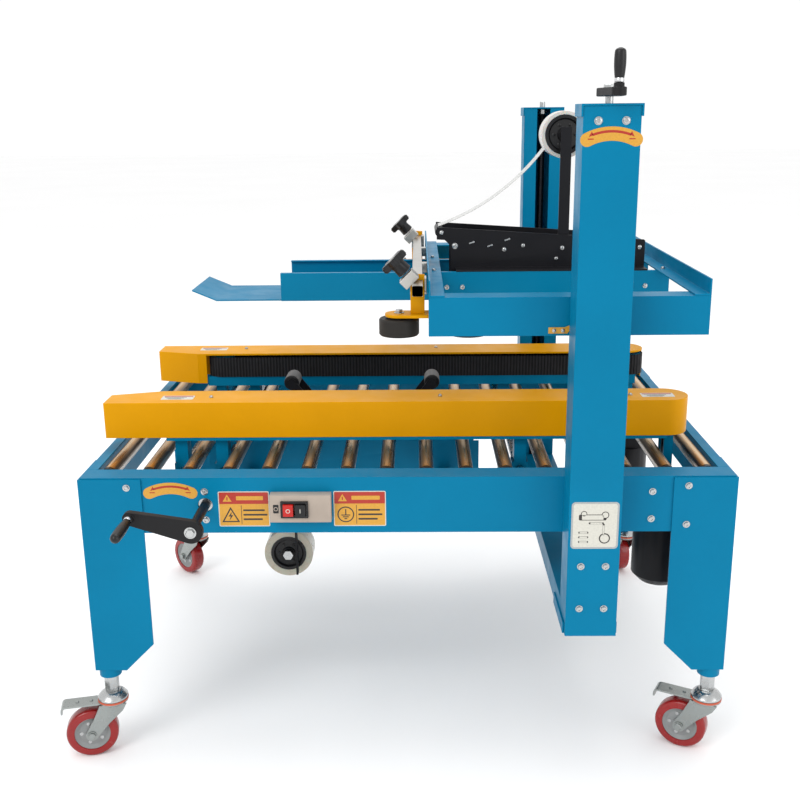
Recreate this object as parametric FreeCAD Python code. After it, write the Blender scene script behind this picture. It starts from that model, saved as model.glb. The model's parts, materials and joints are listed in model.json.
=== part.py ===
"""Side-belt carton sealer: rebuilt as an assembly of separate pieces.

Frame while modelling: X along the carton path (cartons travel +X), Y from the operator's side to
the rear, Z up from the floor, with X = 0 and Y = 0 on the table's centre lines. At the end every
piece is moved in X and Y so that the origin is the centre of the whole machine's base.
All sizes are in millimetres.
"""
import FreeCAD, Part
import math
import os

V = FreeCAD.Vector
UP = V(0, 0, 1)
ALONG_Y = V(0, 1, 0)

# ---------------------------------------------------------------- driving dimensions
TABLE_LENGTH = 1090.0      # over the leg plates
TABLE_WIDTH = 770.0        # over the leg plates
TABLE_TOP = 524.0          # floor to the top of the table rails
RAIL_HEIGHT = 98.0
RAIL_FLANGE = 45.0         # top flange of the long rails
RAIL_LIP = 25.0            # bottom lip of the long rails
END_FLANGE = 18.0          # top flange of the short rails
SHEET = 3.0                # folded steel sheet
THIN_SHEET = 2.5
COVER_SHEET = 2.0

LEG_FACE = 105.0           # width of each leg's two faces
LEG_BOTTOM = 170.0         # floor to the leg's lower edge
LEG_CHAMFER = 50.0
SOCKET_INSET = 20.0        # castor socket centre from the leg's two outer faces
SOCKET_RADIUS = 19.0
SOCKET_BOTTOM = 154.0

RUNNING = 0.05             # radial running clearance of every shaft in its bore
SCREW_FIT = 0.1            # radial clearance of a nut on its screw
GAP = 0.3                  # clearance between curved faces that don't touch

ROLLER_COUNT = 16
ROLLER_PITCH = 68.0
ROLLER_RADIUS = 12.5
ROLLER_AXLE_RADIUS = 4.0
ROLLER_DROP = 14.0         # roller axis below the table top
ROLLER_END_GAP = 6.0       # roller end to the rail flange

COLUMN_X = 302.0           # centre of both columns
COLUMN_WIDTH = 84.0
COLUMN_DEPTH = 63.0
COLUMN_BOTTOM = 267.0
COLUMN_TOP = 1112.0
COLUMN_SLOT = 29.0
CAP_SKIRT = 18.0
TIE_HEIGHT = 40.0

LIFT_SCREW_RADIUS = 8.0
LIFT_JOURNAL_RADIUS = 6.0
SPROCKET_RADIUS = 12.0
CHAIN_THICKNESS = 3.0
CHAIN_HEIGHT = 8.0

WIDTH_SCREW_X = -335.0
WIDTH_SCREW_DROP = 48.0    # width screw axis below the table top
WIDTH_SCREW_RADIUS = 8.0
SLIDE_ROD_RADIUS = 10.0
SLIDE_ROD_X = (-408.0, 204.0)

WIDTH_CRANK_REACH = 97.0   # shaft to grip
LIFT_CRANK_REACH = 60.0
CRANK_HUB_RADIUS = 19.0
CRANK_TIP_RADIUS = 11.0
CRANK_THICKNESS = 12.0
GRIP_RADIUS = 8.5
WIDTH_GRIP_LENGTH = 76.0
LIFT_GRIP_LENGTH = 46.0
GRIP_PIN_RADIUS = 3.0
GRIP_COLLAR = 6.0
WIDTH_CRANK_Y = -494.0     # mid-plane of the width crank's arm
WIDTH_CRANK_ANGLE = 166.4  # arm direction from +X towards +Z, degrees
LIFT_CRANK_ANGLE = -88.0   # arm direction from +X towards +Y, degrees
LIFT_CRANK_Z = 1122.0      # underside of the lift crank's arm

BELT_GAP = 306.0           # between the covers' inner edges
BELT_UNIT_WIDTH = 82.0
COVER_TOP = 612.0
COVER_BOTTOM = 547.0
COVER_LIP = 4.0
COVER_LEFT = -538.0
WINDOW_X = -431.0          # where the belt comes out of its cover
LEAD_X = -450.0            # where the infeed lead-in starts
LEAD_DEPTH = 56.0          # cover depth left at its tip
DRIVE_X = 472.0            # drive pulley and motor axis
IDLER_X = -400.0
BELT_TOP = 604.0
BELT_HEIGHT = 43.0
BELT_THICKNESS = 4.0
PULLEY_RADIUS = 25.7
BEAM_BOTTOM = 541.0
HANGER_WIDTH = 22.0
BLOCK_Y = (-215.0, -185.0)  # bored blocks of the near unit
MOTOR_RADIUS = 50.0
MOTOR_BOTTOM = 249.0
MOTOR_TOP = 400.0
GEARBOX_TOP = 445.0
MOTOR_SHAFT_RADIUS = 8.0

TROUGH_WIDTH = 180.0
LOWER_TROUGH_X = (-385.0, 137.0)
RAISED_WALL_X = (-330.0, 126.0)
LOWER_TROUGH_BOTTOM = 434.0
LOW_WALL_TOP = 493.0
LOWER_TROUGH_TOP = 518.0
CARTRIDGE_HALF_WIDTH = 50.0
CARTRIDGE_PLATE = 3.0

HEAD_X = (38.0, 485.0)
HEAD_WIDTH = 730.0
HEAD_BOTTOM = 756.0
HEAD_TOP = 819.0
HEAD_FLANGE = 44.0
ANGLE_LEG = 26.0
ANGLE_RISE = 24.0
BLOCK_HEIGHT = 100.0
BLOCK_BOTTOM = 740.0

UPPER_TROUGH_X = (-233.0, 484.0)
UPPER_TROUGH_BOTTOM = 767.0
TROUGH_LIP = 10.0
SKI_BEND_X = -355.0
SKI_TIP_X = -400.0
SKI_TIP_RISE = 19.0
SKI_WIDTH = 170.0

ARM_PLATE = 3.0
ARM_HALF_WIDTH = 30.0
ARM_PIVOT_RADIUS = 6.0
ARM_BOSS_RADIUS = 11.0
ARM_TIP_RADIUS = 9.0
ARM_AXLE_RADIUS = 5.0
ARM_ROLLER_LENGTH = 50.0
UPPER_ROLLER_RADIUS = 20.0
LOWER_ROLLER_RADIUS = 15.0
UPPER_PIVOTS_X = (170.0, 330.0)
UPPER_PIVOT_Z = 795.0
UPPER_ARM_REACH = (70.0, -86.0)
LOWER_PIVOTS_X = (-152.0, -28.0)
LOWER_PIVOT_Z = 490.0
LOWER_ARM_REACH = (76.0, 103.0)

TAPE_WIDTH = 48.0
ROLL_SHAFT_RADIUS = 8.0
UPPER_ROLL = (293.0, 1061.0, 42.5, 36.0)     # axis X, axis Z, tape radius, core radius
LOWER_ROLL = (-248.0, 230.0, 50.0, 36.5)
TAPE_THICKNESS = 0.8
TAPE_SAG = 18.0
GUIDE = (62.0, 887.0, 8.0)                   # front guide pin: X, Z, radius

PRESS_BAR = 17.0
PRESS_BAR_X = 12.0
PRESS_BAR_Z = 823.0
PRESS_BAR_LENGTH = 754.0
PRESS_SPACER_Y = 100.0
PRESS_SPACER_WIDTH = 20.0
CLAMP_WIDTH = 30.0
CLAMP_HALF = 14.0          # half the block's thickness across its lean
CLAMP_REACH = 27.0         # bar's middle to the block's face under the knob
CLAMP_CLEARANCE = 0.1
CLAMP_Y = 303.0            # clamp block's middle from the centre line
PRESS_PLATE_Y = 317.0
PRESS_PLATE_WIDTH = 46.0
PRESS_PLATE_THICK = 5.0
PRESS_PLATE_Z = 781.0
PRESS_WHEEL_X = (-10.0, 103.0)
PRESS_WHEEL_RADIUS = 33.0
PRESS_WHEEL_HEIGHT = 28.0
PRESS_WHEEL_GAP = 3.0
PRESS_AXLE_RADIUS = 5.0
KNOB_RADIUS = 25.0

CASTOR_RADIUS = 45.0
CASTOR_WIDTH = 28.0
CASTOR_TRAIL = 40.0
CASTOR_HEAD_RADIUS = 26.0
CASTOR_HEAD_TOP = 121.0
CASTOR_FORK_TOP = 108.0
CASTOR_AXLE_RADIUS = 5.0
CASTOR_STEM_RADIUS = 8.0
CASTOR_PLATE = 3.0
PEDAL_REACH = 90.0         # swivel axis to the brake pedal's tip
CASTOR_HEADINGS = {        # trail direction from +X towards +Y, degrees
    "front_left": 193.0, "front_right": 152.0, "rear_left": 138.0, "rear_right": 100.0}

SWITCH_X = (-225.0, -124.0)
SWITCH_Z = (452.0, 499.0)
SWITCH_DEPTH = 18.0
BUTTON_WIDTH = 17.0
BUTTON_HEIGHT = 20.0
BUTTON_TRAVEL = 3.0
BUTTON_MIDS = {"stop_button": -194.0, "start_button": -174.0}
BUTTON_MID_Z = 475.0
BOLT_RADIUS = 5.0
BOLT_HEAD = 4.0

# ---------------------------------------------------------------- values worked out from them
HALF_L = TABLE_LENGTH / 2
HALF_W = TABLE_WIDTH / 2
RAIL_X = HALF_L - SHEET
RAIL_Y = HALF_W - SHEET                      # outer face of the long rails
RAIL_IN = RAIL_Y - SHEET                     # inner face of their webs
RAIL_BOTTOM = TABLE_TOP - RAIL_HEIGHT
FLANGE_Y = RAIL_Y - RAIL_FLANGE
ROLLER_Z = TABLE_TOP - ROLLER_DROP
WIDTH_SCREW_Z = TABLE_TOP - WIDTH_SCREW_DROP
COLUMN_Y = RAIL_Y + COLUMN_DEPTH             # outer face of the columns
SCREW_Y = RAIL_Y + COLUMN_DEPTH / 2          # lift screw axes, from the centre line
TIE_TOP = COLUMN_BOTTOM + TIE_HEIGHT
UNIT_INNER = BELT_GAP / 2
UNIT_OUTER = UNIT_INNER + BELT_UNIT_WIDTH
UNIT_MID = (UNIT_INNER + UNIT_OUTER) / 2
END_RADIUS = BELT_UNIT_WIDTH / 2
BELT_OUTER = PULLEY_RADIUS + GAP + BELT_THICKNESS
BELT_Y = UNIT_INNER + BELT_OUTER             # belt loop's own centre line
COVER_END_X = DRIVE_X - 10                   # centre of the cover's round end
BEAM_TOP = BELT_TOP - BELT_HEIGHT
TROUGH_HALF = TROUGH_WIDTH / 2
PLATE_IN = CARTRIDGE_HALF_WIDTH - CARTRIDGE_PLATE
HEAD_Y = HEAD_WIDTH / 2
GRIP_START = CRANK_THICKNESS + GRIP_COLLAR + GAP

pieces = {}


# ---------------------------------------------------------------- small builders
def box(x0, x1, y0, y1, z0, z1):
    return Part.makeBox(x1 - x0, y1 - y0, z1 - z0, V(x0, y0, z0))


def rod(start, end, radius):
    run = end - start
    return Part.makeCylinder(radius, run.Length, start, run)


def rod_y(x, z, y0, y1, radius):
    return rod(V(x, y0, z), V(x, y1, z), radius)


def rod_z(x, y, z0, z1, radius):
    return rod(V(x, y, z0), V(x, y, z1), radius)


def prism_xz(points, y0, y1):
    """A flat outline in X and Z, carried along Y."""
    outline = [V(x, y0, z) for x, z in points]
    face = Part.Face(Part.makePolygon(outline + outline[:1]))
    return face.extrude(V(0, y1 - y0, 0))


def prism_yz(points, x0, x1):
    """A flat outline in Y and Z, carried along X."""
    outline = [V(x0, y, z) for y, z in points]
    face = Part.Face(Part.makePolygon(outline + outline[:1]))
    return face.extrude(V(x1 - x0, 0, 0))


def stadium(x0, x1, y, radius, z0, z1):
    """A plate with straight sides and round ends, seen from above."""
    middle = box(x0, x1, y - radius, y + radius, z0, z1)
    return fuse([middle, rod_z(x0, y, z0, z1, radius), rod_z(x1, y, z0, z1, radius)])


def fuse(shapes):
    whole = shapes[0]
    for shape in shapes[1:]:
        whole = whole.fuse(shape)
    return whole.removeSplitter()


def to_rear(shape):
    """The same piece on the rear side of the machine."""
    return shape.mirror(V(0, 0, 0), ALONG_Y)


def to_other_end(shape, middle=0.0):
    return shape.mirror(V(middle, 0, 0), V(1, 0, 0))


def add(name, *solids):
    pieces[name] = list(solids)


# ---------------------------------------------------------------- table frame
def side_rail():
    """Folded channel: web outside, wide top flange and small bottom lip turned inwards."""
    web = box(-RAIL_X, RAIL_X, -RAIL_Y, -RAIL_IN, RAIL_BOTTOM, TABLE_TOP)
    flange = box(-RAIL_X, RAIL_X, -RAIL_IN, -FLANGE_Y, TABLE_TOP - SHEET, TABLE_TOP)
    lip_end = RAIL_X - SHEET - 1
    lip = box(-lip_end, lip_end, -RAIL_IN, -RAIL_Y + RAIL_LIP, RAIL_BOTTOM, RAIL_BOTTOM + SHEET)
    hole = rod_y(WIDTH_SCREW_X, WIDTH_SCREW_Z, -RAIL_Y - 1, -RAIL_IN + 1, WIDTH_SCREW_RADIUS + 4)
    return fuse([web, flange, lip]).cut(hole)


def end_rail():
    web = box(RAIL_X - SHEET, RAIL_X, -RAIL_IN, RAIL_IN, RAIL_BOTTOM, TABLE_TOP - SHEET)
    flange = box(RAIL_X - END_FLANGE, RAIL_X, -FLANGE_Y, FLANGE_Y, TABLE_TOP - SHEET, TABLE_TOP)
    return fuse([web, flange])


def leg():
    """Front left leg: a folded angle with its free lower corners cut off, a foot and a socket."""
    top = TABLE_TOP - 2
    far = LEG_FACE
    cut = LEG_CHAMFER
    low = LEG_BOTTOM
    outline = [(0, low), (far - cut, low), (far, low + cut), (far, top), (0, top)]
    front = prism_xz([(-HALF_L + a, z) for a, z in outline], -HALF_W, -HALF_W + SHEET)
    side = prism_yz([(-HALF_W + a, z) for a, z in outline], -HALF_L, -HALF_L + SHEET)
    foot_end = far - cut
    foot = box(-HALF_L, -HALF_L + foot_end, -HALF_W, -HALF_W + foot_end, low, low + 5)
    x, y = -HALF_L + SOCKET_INSET, -HALF_W + SOCKET_INSET
    socket = rod_z(x, y, SOCKET_BOTTOM, low, SOCKET_RADIUS)
    bore = rod_z(x, y, SOCKET_BOTTOM - 1, low + 10, CASTOR_STEM_RADIUS + GAP)
    return fuse([front, side, foot, socket]).cut(bore)


def mirrored_corners(shape):
    left = [shape, to_rear(shape)]
    return left + [to_other_end(s) for s in left]


front_rail = side_rail()
add("side_rails", front_rail, to_rear(front_rail))
right_end_rail = end_rail()
add("end_rails", right_end_rail, to_other_end(right_end_rail))
add("legs", *mirrored_corners(leg()))


# ---------------------------------------------------------------- roller bed
def conveyor_roller(x, y0, y1):
    tube = rod_y(x, ROLLER_Z, y0, y1, ROLLER_RADIUS)
    return tube.cut(rod_y(x, ROLLER_Z, y0 - 1, y1 + 1, ROLLER_AXLE_RADIUS + RUNNING))


def roller_bed():
    """Full-width rollers, and half-width ones on each side of the lower trough."""
    solids = []
    reach = FLANGE_Y - ROLLER_END_GAP
    for index in range(ROLLER_COUNT):
        x = (index - (ROLLER_COUNT - 1) / 2) * ROLLER_PITCH
        split = RAISED_WALL_X[0] < x < RAISED_WALL_X[1]
        if split:
            near = [conveyor_roller(x, -reach, -TROUGH_HALF - 3),
                    rod_y(x, ROLLER_Z, -RAIL_IN, -TROUGH_HALF, ROLLER_AXLE_RADIUS)]
            solids += near + [to_rear(s) for s in near]
        else:
            solids += [conveyor_roller(x, -reach, reach),
                       rod_y(x, ROLLER_Z, -RAIL_IN, RAIL_IN, ROLLER_AXLE_RADIUS)]
    return solids


add("rollers", *roller_bed())


# ---------------------------------------------------------------- lower trough and its cross bars
def channel(x0, x1, z0, z1, sheet):
    """Open-topped channel as wide as the troughs, with small lips turned inwards."""
    outer = box(x0, x1, -TROUGH_HALF, TROUGH_HALF, z0, z1)
    hollow = box(x0 - 1, x1 + 1, -TROUGH_HALF + sheet, TROUGH_HALF - sheet, z0 + sheet, z1 - sheet)
    mouth = box(x0 - 1, x1 + 1, -TROUGH_HALF + TROUGH_LIP, TROUGH_HALF - TROUGH_LIP, z0 + sheet, z1 + 1)
    return outer.cut(hollow).cut(mouth)


CARTRIDGE_SLOT = CARTRIDGE_HALF_WIDTH + 2
BAR_X = ((-315.0, -285.0), (53.0, 83.0))
LOWER_PLATE_X = (-250.0, 70.0)


def lower_trough():
    body = channel(LOWER_TROUGH_X[0], LOWER_TROUGH_X[1], LOWER_TROUGH_BOTTOM, LOWER_TROUGH_TOP, THIN_SHEET)
    for x0, x1 in ((LOWER_TROUGH_X[0], RAISED_WALL_X[0]), (RAISED_WALL_X[1], LOWER_TROUGH_X[1])):
        body = body.cut(box(x0, x1, -TROUGH_HALF, TROUGH_HALF, LOW_WALL_TOP, LOWER_TROUGH_TOP))
    slot = box(LOWER_PLATE_X[0] - 20, BAR_X[1][0] - 13, -CARTRIDGE_SLOT, CARTRIDGE_SLOT,
               LOWER_TROUGH_BOTTOM - 1, LOWER_TROUGH_BOTTOM + THIN_SHEET + 1)
    body = body.cut(slot)
    body = body.cut(rod_y(WIDTH_SCREW_X, WIDTH_SCREW_Z, -RAIL_IN, RAIL_IN, WIDTH_SCREW_RADIUS + 4))
    bars = [box(x0, x1, -RAIL_IN, RAIL_IN, RAIL_BOTTOM + SHEET, LOWER_TROUGH_BOTTOM) for x0, x1 in BAR_X]
    return fuse([body] + bars)


add("lower_trough", lower_trough())


# ---------------------------------------------------------------- slide rods and screw bearings
def screw_bearing():
    half = 16.0
    block = box(WIDTH_SCREW_X - half, WIDTH_SCREW_X + half, -RAIL_IN, -RAIL_IN + 12,
                WIDTH_SCREW_Z - 30, WIDTH_SCREW_Z + 30)
    return block.cut(rod_y(WIDTH_SCREW_X, WIDTH_SCREW_Z, -HALF_W, 0, WIDTH_SCREW_RADIUS + RUNNING))


slide_rods = [rod_y(x, WIDTH_SCREW_Z, -RAIL_IN, RAIL_IN, SLIDE_ROD_RADIUS) for x in SLIDE_ROD_X]
front_bearing = screw_bearing()
add("slide_rods", *slide_rods, front_bearing, to_rear(front_bearing))


# ---------------------------------------------------------------- columns, caps and tie beam
def column():
    """Front column: C-section with its slot facing the carton path, and a bottom plate."""
    half = COLUMN_WIDTH / 2
    x0, x1 = COLUMN_X - half, COLUMN_X + half
    top = COLUMN_TOP - SHEET
    outer = box(x0, x1, -COLUMN_Y, -RAIL_Y, COLUMN_BOTTOM, top)
    hollow = box(x0 + SHEET, x1 - SHEET, -COLUMN_Y + SHEET, -RAIL_Y - SHEET, COLUMN_BOTTOM + SHEET, top + 1)
    slot = box(COLUMN_X - COLUMN_SLOT / 2, COLUMN_X + COLUMN_SLOT / 2, -RAIL_Y - SHEET - 1, -RAIL_Y + 1,
               COLUMN_BOTTOM + SHEET, top + 1)
    chain_window = box(COLUMN_X - 30, COLUMN_X + 30, -RAIL_Y - SHEET - 1, -RAIL_Y + 1,
                       COLUMN_BOTTOM + SHEET, TIE_TOP - SHEET)
    return outer.cut(hollow).cut(slot).cut(chain_window)


def column_cap():
    """Top plate with two skirts that hug the column's sides and a hole for the screw's journal."""
    half = COLUMN_WIDTH / 2
    skirt_x = half + SHEET
    top = box(COLUMN_X - skirt_x, COLUMN_X + skirt_x, -COLUMN_Y - 2, -RAIL_Y, COLUMN_TOP - SHEET, COLUMN_TOP)
    skirts = [box(COLUMN_X + a, COLUMN_X + b, -COLUMN_Y - 2, -RAIL_Y, COLUMN_TOP - CAP_SKIRT, COLUMN_TOP - SHEET)
              for a, b in ((-skirt_x, -half), (half, skirt_x))]
    hole = rod_z(COLUMN_X, -SCREW_Y, COLUMN_TOP - 10, COLUMN_TOP + 1, LIFT_JOURNAL_RADIUS + RUNNING)
    return fuse([top] + skirts).cut(hole)


front_column = [column(), column_cap()]
add("front_column", *front_column)
add("rear_column", *[to_rear(s) for s in front_column])


def tie_beam():
    """Inverted channel under the table between the columns, with side plates that clasp them."""
    half = COLUMN_WIDTH / 2
    x0, x1 = COLUMN_X - half, COLUMN_X + half
    outer = box(x0, x1, -RAIL_Y, RAIL_Y, COLUMN_BOTTOM, TIE_TOP)
    hollow = box(x0 + SHEET, x1 - SHEET, -RAIL_Y - 1, RAIL_Y + 1, COLUMN_BOTTOM - 1, TIE_TOP - SHEET)
    clasps = [box(a, b, -COLUMN_Y + 10, -RAIL_Y + 60, COLUMN_BOTTOM, COLUMN_BOTTOM + 20)
              for a, b in ((x0 - SHEET, x0), (x1, x1 + SHEET))]
    return fuse([outer.cut(hollow)] + clasps + [to_rear(s) for s in clasps])


CHAIN_Z = (283.0, 283.0 + CHAIN_HEIGHT)
chain_inner = SPROCKET_RADIUS + GAP


def loop_along_y(radius, z0, z1):
    middle = box(COLUMN_X - radius, COLUMN_X + radius, -SCREW_Y, SCREW_Y, z0, z1)
    ends = [rod_z(COLUMN_X, y, z0, z1, radius) for y in (-SCREW_Y, SCREW_Y)]
    return fuse([middle] + ends)


add("tie_beam", tie_beam())
add("lift_chain", loop_along_y(chain_inner + CHAIN_THICKNESS, *CHAIN_Z).cut(
    loop_along_y(chain_inner, CHAIN_Z[0] - 1, CHAIN_Z[1] + 1)))


# ---------------------------------------------------------------- lift screws and cranks
def lift_screw(stub_top):
    """Screw standing on the column's bottom plate, with its sprocket, collar and top journal."""
    body = rod_z(COLUMN_X, -SCREW_Y, COLUMN_BOTTOM + SHEET, COLUMN_TOP - SHEET, LIFT_SCREW_RADIUS)
    journal = rod_z(COLUMN_X, -SCREW_Y, COLUMN_TOP - SHEET, stub_top, LIFT_JOURNAL_RADIUS)
    sprocket = rod_z(COLUMN_X, -SCREW_Y, CHAIN_Z[0], CHAIN_Z[1], SPROCKET_RADIUS)
    collar = rod_z(COLUMN_X, -SCREW_Y, COLUMN_TOP - SHEET - 12, COLUMN_TOP - SHEET - 1, SPROCKET_RADIUS)
    return fuse([body, journal, sprocket, collar])


def crank_arm(reach, grip_length):
    """Tapered arm in the XY plane from the shaft at the origin to the grip's pin along +X."""
    slope = math.asin((CRANK_HUB_RADIUS - CRANK_TIP_RADIUS) / reach)
    hub_edge = (CRANK_HUB_RADIUS * math.sin(slope), CRANK_HUB_RADIUS * math.cos(slope))
    tip_edge = (reach + CRANK_TIP_RADIUS * math.sin(slope), CRANK_TIP_RADIUS * math.cos(slope))
    corners = [hub_edge, tip_edge, (tip_edge[0], -tip_edge[1]), (hub_edge[0], -hub_edge[1])]
    outline = [V(x, y, 0) for x, y in corners]
    web = Part.Face(Part.makePolygon(outline + outline[:1])).extrude(V(0, 0, CRANK_THICKNESS))
    hub = rod_z(0, 0, 0, CRANK_THICKNESS, CRANK_HUB_RADIUS)
    tip = rod_z(reach, 0, 0, CRANK_THICKNESS, CRANK_TIP_RADIUS)
    collar = rod_z(reach, 0, CRANK_THICKNESS, CRANK_THICKNESS + GRIP_COLLAR, GRIP_RADIUS - 1)
    pin = rod_z(reach, 0, 0, GRIP_START + grip_length - 6, GRIP_PIN_RADIUS)
    bore = rod_z(0, 0, -1, CRANK_THICKNESS + 1, LIFT_JOURNAL_RADIUS + RUNNING)
    return fuse([web, hub, tip, collar, pin]).cut(bore)


def crank_grip(reach, length):
    outer = Part.makeCone(GRIP_RADIUS - 2, GRIP_RADIUS, length, V(reach, 0, GRIP_START), UP)
    bore = rod_z(reach, 0, GRIP_START - 1, GRIP_START + length - 4, GRIP_PIN_RADIUS + RUNNING)
    return outer.cut(bore)


def as_lift_crank(shape):
    turned = shape.copy()
    turned.rotate(V(0, 0, 0), UP, LIFT_CRANK_ANGLE)
    turned.translate(V(COLUMN_X, -SCREW_Y, LIFT_CRANK_Z))
    return turned


def as_width_crank(shape):
    """The arm's plane stands upright and its grip points at the operator."""
    turned = shape.copy()
    turned.rotate(V(0, 0, 0), V(1, 0, 0), 90)
    turned.rotate(V(0, 0, 0), ALONG_Y, -WIDTH_CRANK_ANGLE)
    turned.translate(V(WIDTH_SCREW_X, WIDTH_CRANK_Y + CRANK_THICKNESS / 2, WIDTH_SCREW_Z))
    return turned


add("front_lift_screw", lift_screw(LIFT_CRANK_Z + CRANK_THICKNESS + 5))
add("rear_lift_screw", to_rear(lift_screw(COLUMN_TOP + 12)))
add("lift_crank_arm", as_lift_crank(crank_arm(LIFT_CRANK_REACH, LIFT_GRIP_LENGTH)))
add("lift_crank_grip", as_lift_crank(crank_grip(LIFT_CRANK_REACH, LIFT_GRIP_LENGTH)))
width_shaft_end = WIDTH_CRANK_Y - CRANK_THICKNESS / 2 - 5
width_journal_end = WIDTH_CRANK_Y + CRANK_THICKNESS / 2
width_screw = fuse([
    rod_y(WIDTH_SCREW_X, WIDTH_SCREW_Z, width_journal_end, RAIL_IN + SHEET, WIDTH_SCREW_RADIUS),
    rod_y(WIDTH_SCREW_X, WIDTH_SCREW_Z, width_shaft_end, width_journal_end, LIFT_JOURNAL_RADIUS)])
add("width_screw", width_screw)
add("width_crank_arm", as_width_crank(crank_arm(WIDTH_CRANK_REACH, WIDTH_GRIP_LENGTH)))
add("width_crank_grip", as_width_crank(crank_grip(WIDTH_CRANK_REACH, WIDTH_GRIP_LENGTH)))


# ---------------------------------------------------------------- side-belt units
def unit_outline(inset, z0, z1):
    """Plan of the near belt unit: a lead-in taper at the infeed and a round outfeed end."""
    outer, inner, left = -UNIT_OUTER + inset, -UNIT_INNER - inset, COVER_LEFT + inset
    points = [V(left, outer, z0), V(COVER_END_X, outer, z0)]
    turn = V(COVER_END_X, inner, z0)
    lead = [V(LEAD_X, inner, z0), V(left, -UNIT_OUTER + LEAD_DEPTH - inset, z0)]
    arc = Part.Arc(points[1], V(COVER_END_X + END_RADIUS - inset, -UNIT_MID, z0), turn).toShape()
    edges = [Part.makeLine(points[0], points[1]), arc, Part.makeLine(turn, lead[0]),
             Part.makeLine(lead[0], lead[1]), Part.makeLine(lead[1], points[0])]
    return Part.Face(Part.Wire(edges)).extrude(V(0, 0, z1 - z0))


def belt_cover():
    """Top skin, outer wall and lead-in walls; the belt shows below a narrow inner lip."""
    shell = unit_outline(0, COVER_BOTTOM, COVER_TOP)
    shell = shell.cut(unit_outline(COVER_SHEET, COVER_BOTTOM - 1, COVER_TOP - COVER_SHEET))
    window = box(WINDOW_X, DRIVE_X + END_RADIUS, -UNIT_MID, 0, COVER_BOTTOM - 1, COVER_TOP - COVER_LIP)
    return shell.cut(window)


def belt_loop(radius, z0, z1):
    return stadium(IDLER_X, DRIVE_X, -BELT_Y, radius, z0, z1)


def belt():
    z0, z1 = BEAM_TOP, BELT_TOP - 1
    inner = PULLEY_RADIUS + GAP
    return belt_loop(inner + BELT_THICKNESS, z0, z1).cut(belt_loop(inner, z0 - 1, z1 + 1))


def pulley(x):
    return rod_z(x, -BELT_Y, BEAM_TOP, BELT_TOP - 1, PULLEY_RADIUS)


HANGER_X = (WIDTH_SCREW_X, SLIDE_ROD_X[0], SLIDE_ROD_X[1])
BLOCK_Z = (WIDTH_SCREW_Z - 16, WIDTH_SCREW_Z + 16)


def belt_carriage():
    """Beam under the belt, hangers between the rollers, and bored blocks on the rods and screw."""
    y0, y1 = -UNIT_OUTER + COVER_SHEET, -UNIT_INNER - SHEET
    x0, x1 = WINDOW_X + 1, COVER_END_X
    beam = box(x0, x1, y0, y1, BEAM_BOTTOM, BEAM_TOP)
    beam = beam.cut(box(x0 - 1, x1 + 1, y0 + SHEET, y1 - SHEET, BEAM_BOTTOM - 1, BEAM_TOP - SHEET))
    shelf = box(x1 - 1, DRIVE_X + 12, -BELT_Y - 24, y1, BEAM_BOTTOM, BEAM_TOP)
    parts = [beam, shelf]
    half = HANGER_WIDTH / 2
    for x in HANGER_X:
        parts.append(box(x - half, x + half, BLOCK_Y[0], BLOCK_Y[1], BLOCK_Z[1] - 1, BEAM_TOP - 1))
        parts.append(box(x - half - 4, x + half + 4, BLOCK_Y[0], BLOCK_Y[1], BLOCK_Z[0], BLOCK_Z[1]))
    for y in (-BELT_Y - 22, -BELT_Y + 16):
        parts.append(box(DRIVE_X - 8, DRIVE_X + 8, y, y + 6, GEARBOX_TOP, BEAM_TOP - 1))
    body = fuse(parts)
    bores = [(WIDTH_SCREW_X, WIDTH_SCREW_RADIUS + SCREW_FIT)]
    bores += [(x, SLIDE_ROD_RADIUS + RUNNING) for x in SLIDE_ROD_X]
    for x, radius in bores:
        body = body.cut(rod_y(x, WIDTH_SCREW_Z, -HALF_W, 0, radius))
    return body.cut(rod_z(DRIVE_X, -BELT_Y, BEAM_BOTTOM, BEAM_TOP + 1, MOTOR_SHAFT_RADIUS + GAP))


def belt_backing():
    """Low-friction strip that backs the belt's carton side."""
    y1 = -BELT_Y + PULLEY_RADIUS
    return box(IDLER_X + 30, DRIVE_X - 30, y1 - 4, y1, BEAM_TOP, BELT_TOP - 2)


def belt_motor():
    """Vertical gear motor: barrel with a chamfered fan cover, gearbox and output shaft."""
    chamfer = 14.0
    fan = Part.makeCone(MOTOR_RADIUS - chamfer, MOTOR_RADIUS, chamfer, V(DRIVE_X, -BELT_Y, MOTOR_BOTTOM), UP)
    barrel = rod_z(DRIVE_X, -BELT_Y, MOTOR_BOTTOM + chamfer, MOTOR_TOP, MOTOR_RADIUS)
    half = MOTOR_RADIUS - 6
    gearbox = box(DRIVE_X - half, DRIVE_X + half, -BELT_Y - half, -BELT_Y + half, MOTOR_TOP, GEARBOX_TOP)
    shaft = rod_z(DRIVE_X, -BELT_Y, GEARBOX_TOP, BEAM_TOP, MOTOR_SHAFT_RADIUS)
    return fuse([fan, barrel, gearbox, shaft])


near_unit = {
    "belt_carriage": [belt_carriage(), pulley(IDLER_X), pulley(DRIVE_X), belt_backing()],
    "belt_cover": [belt_cover()],
    "belt": [belt()],
    "belt_motor": [belt_motor()]}
for piece, solids in near_unit.items():
    add("near_" + piece, *solids)
    add("far_" + piece, *[to_rear(s) for s in solids])


# ---------------------------------------------------------------- switch box and buttons
def button_pocket(mid_x, extra, y0, y1):
    half_w, half_h = BUTTON_WIDTH / 2 + extra, BUTTON_HEIGHT / 2 + extra
    return box(mid_x - half_w, mid_x + half_w, y0, y1, BUTTON_MID_Z - half_h, BUTTON_MID_Z + half_h)


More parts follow.
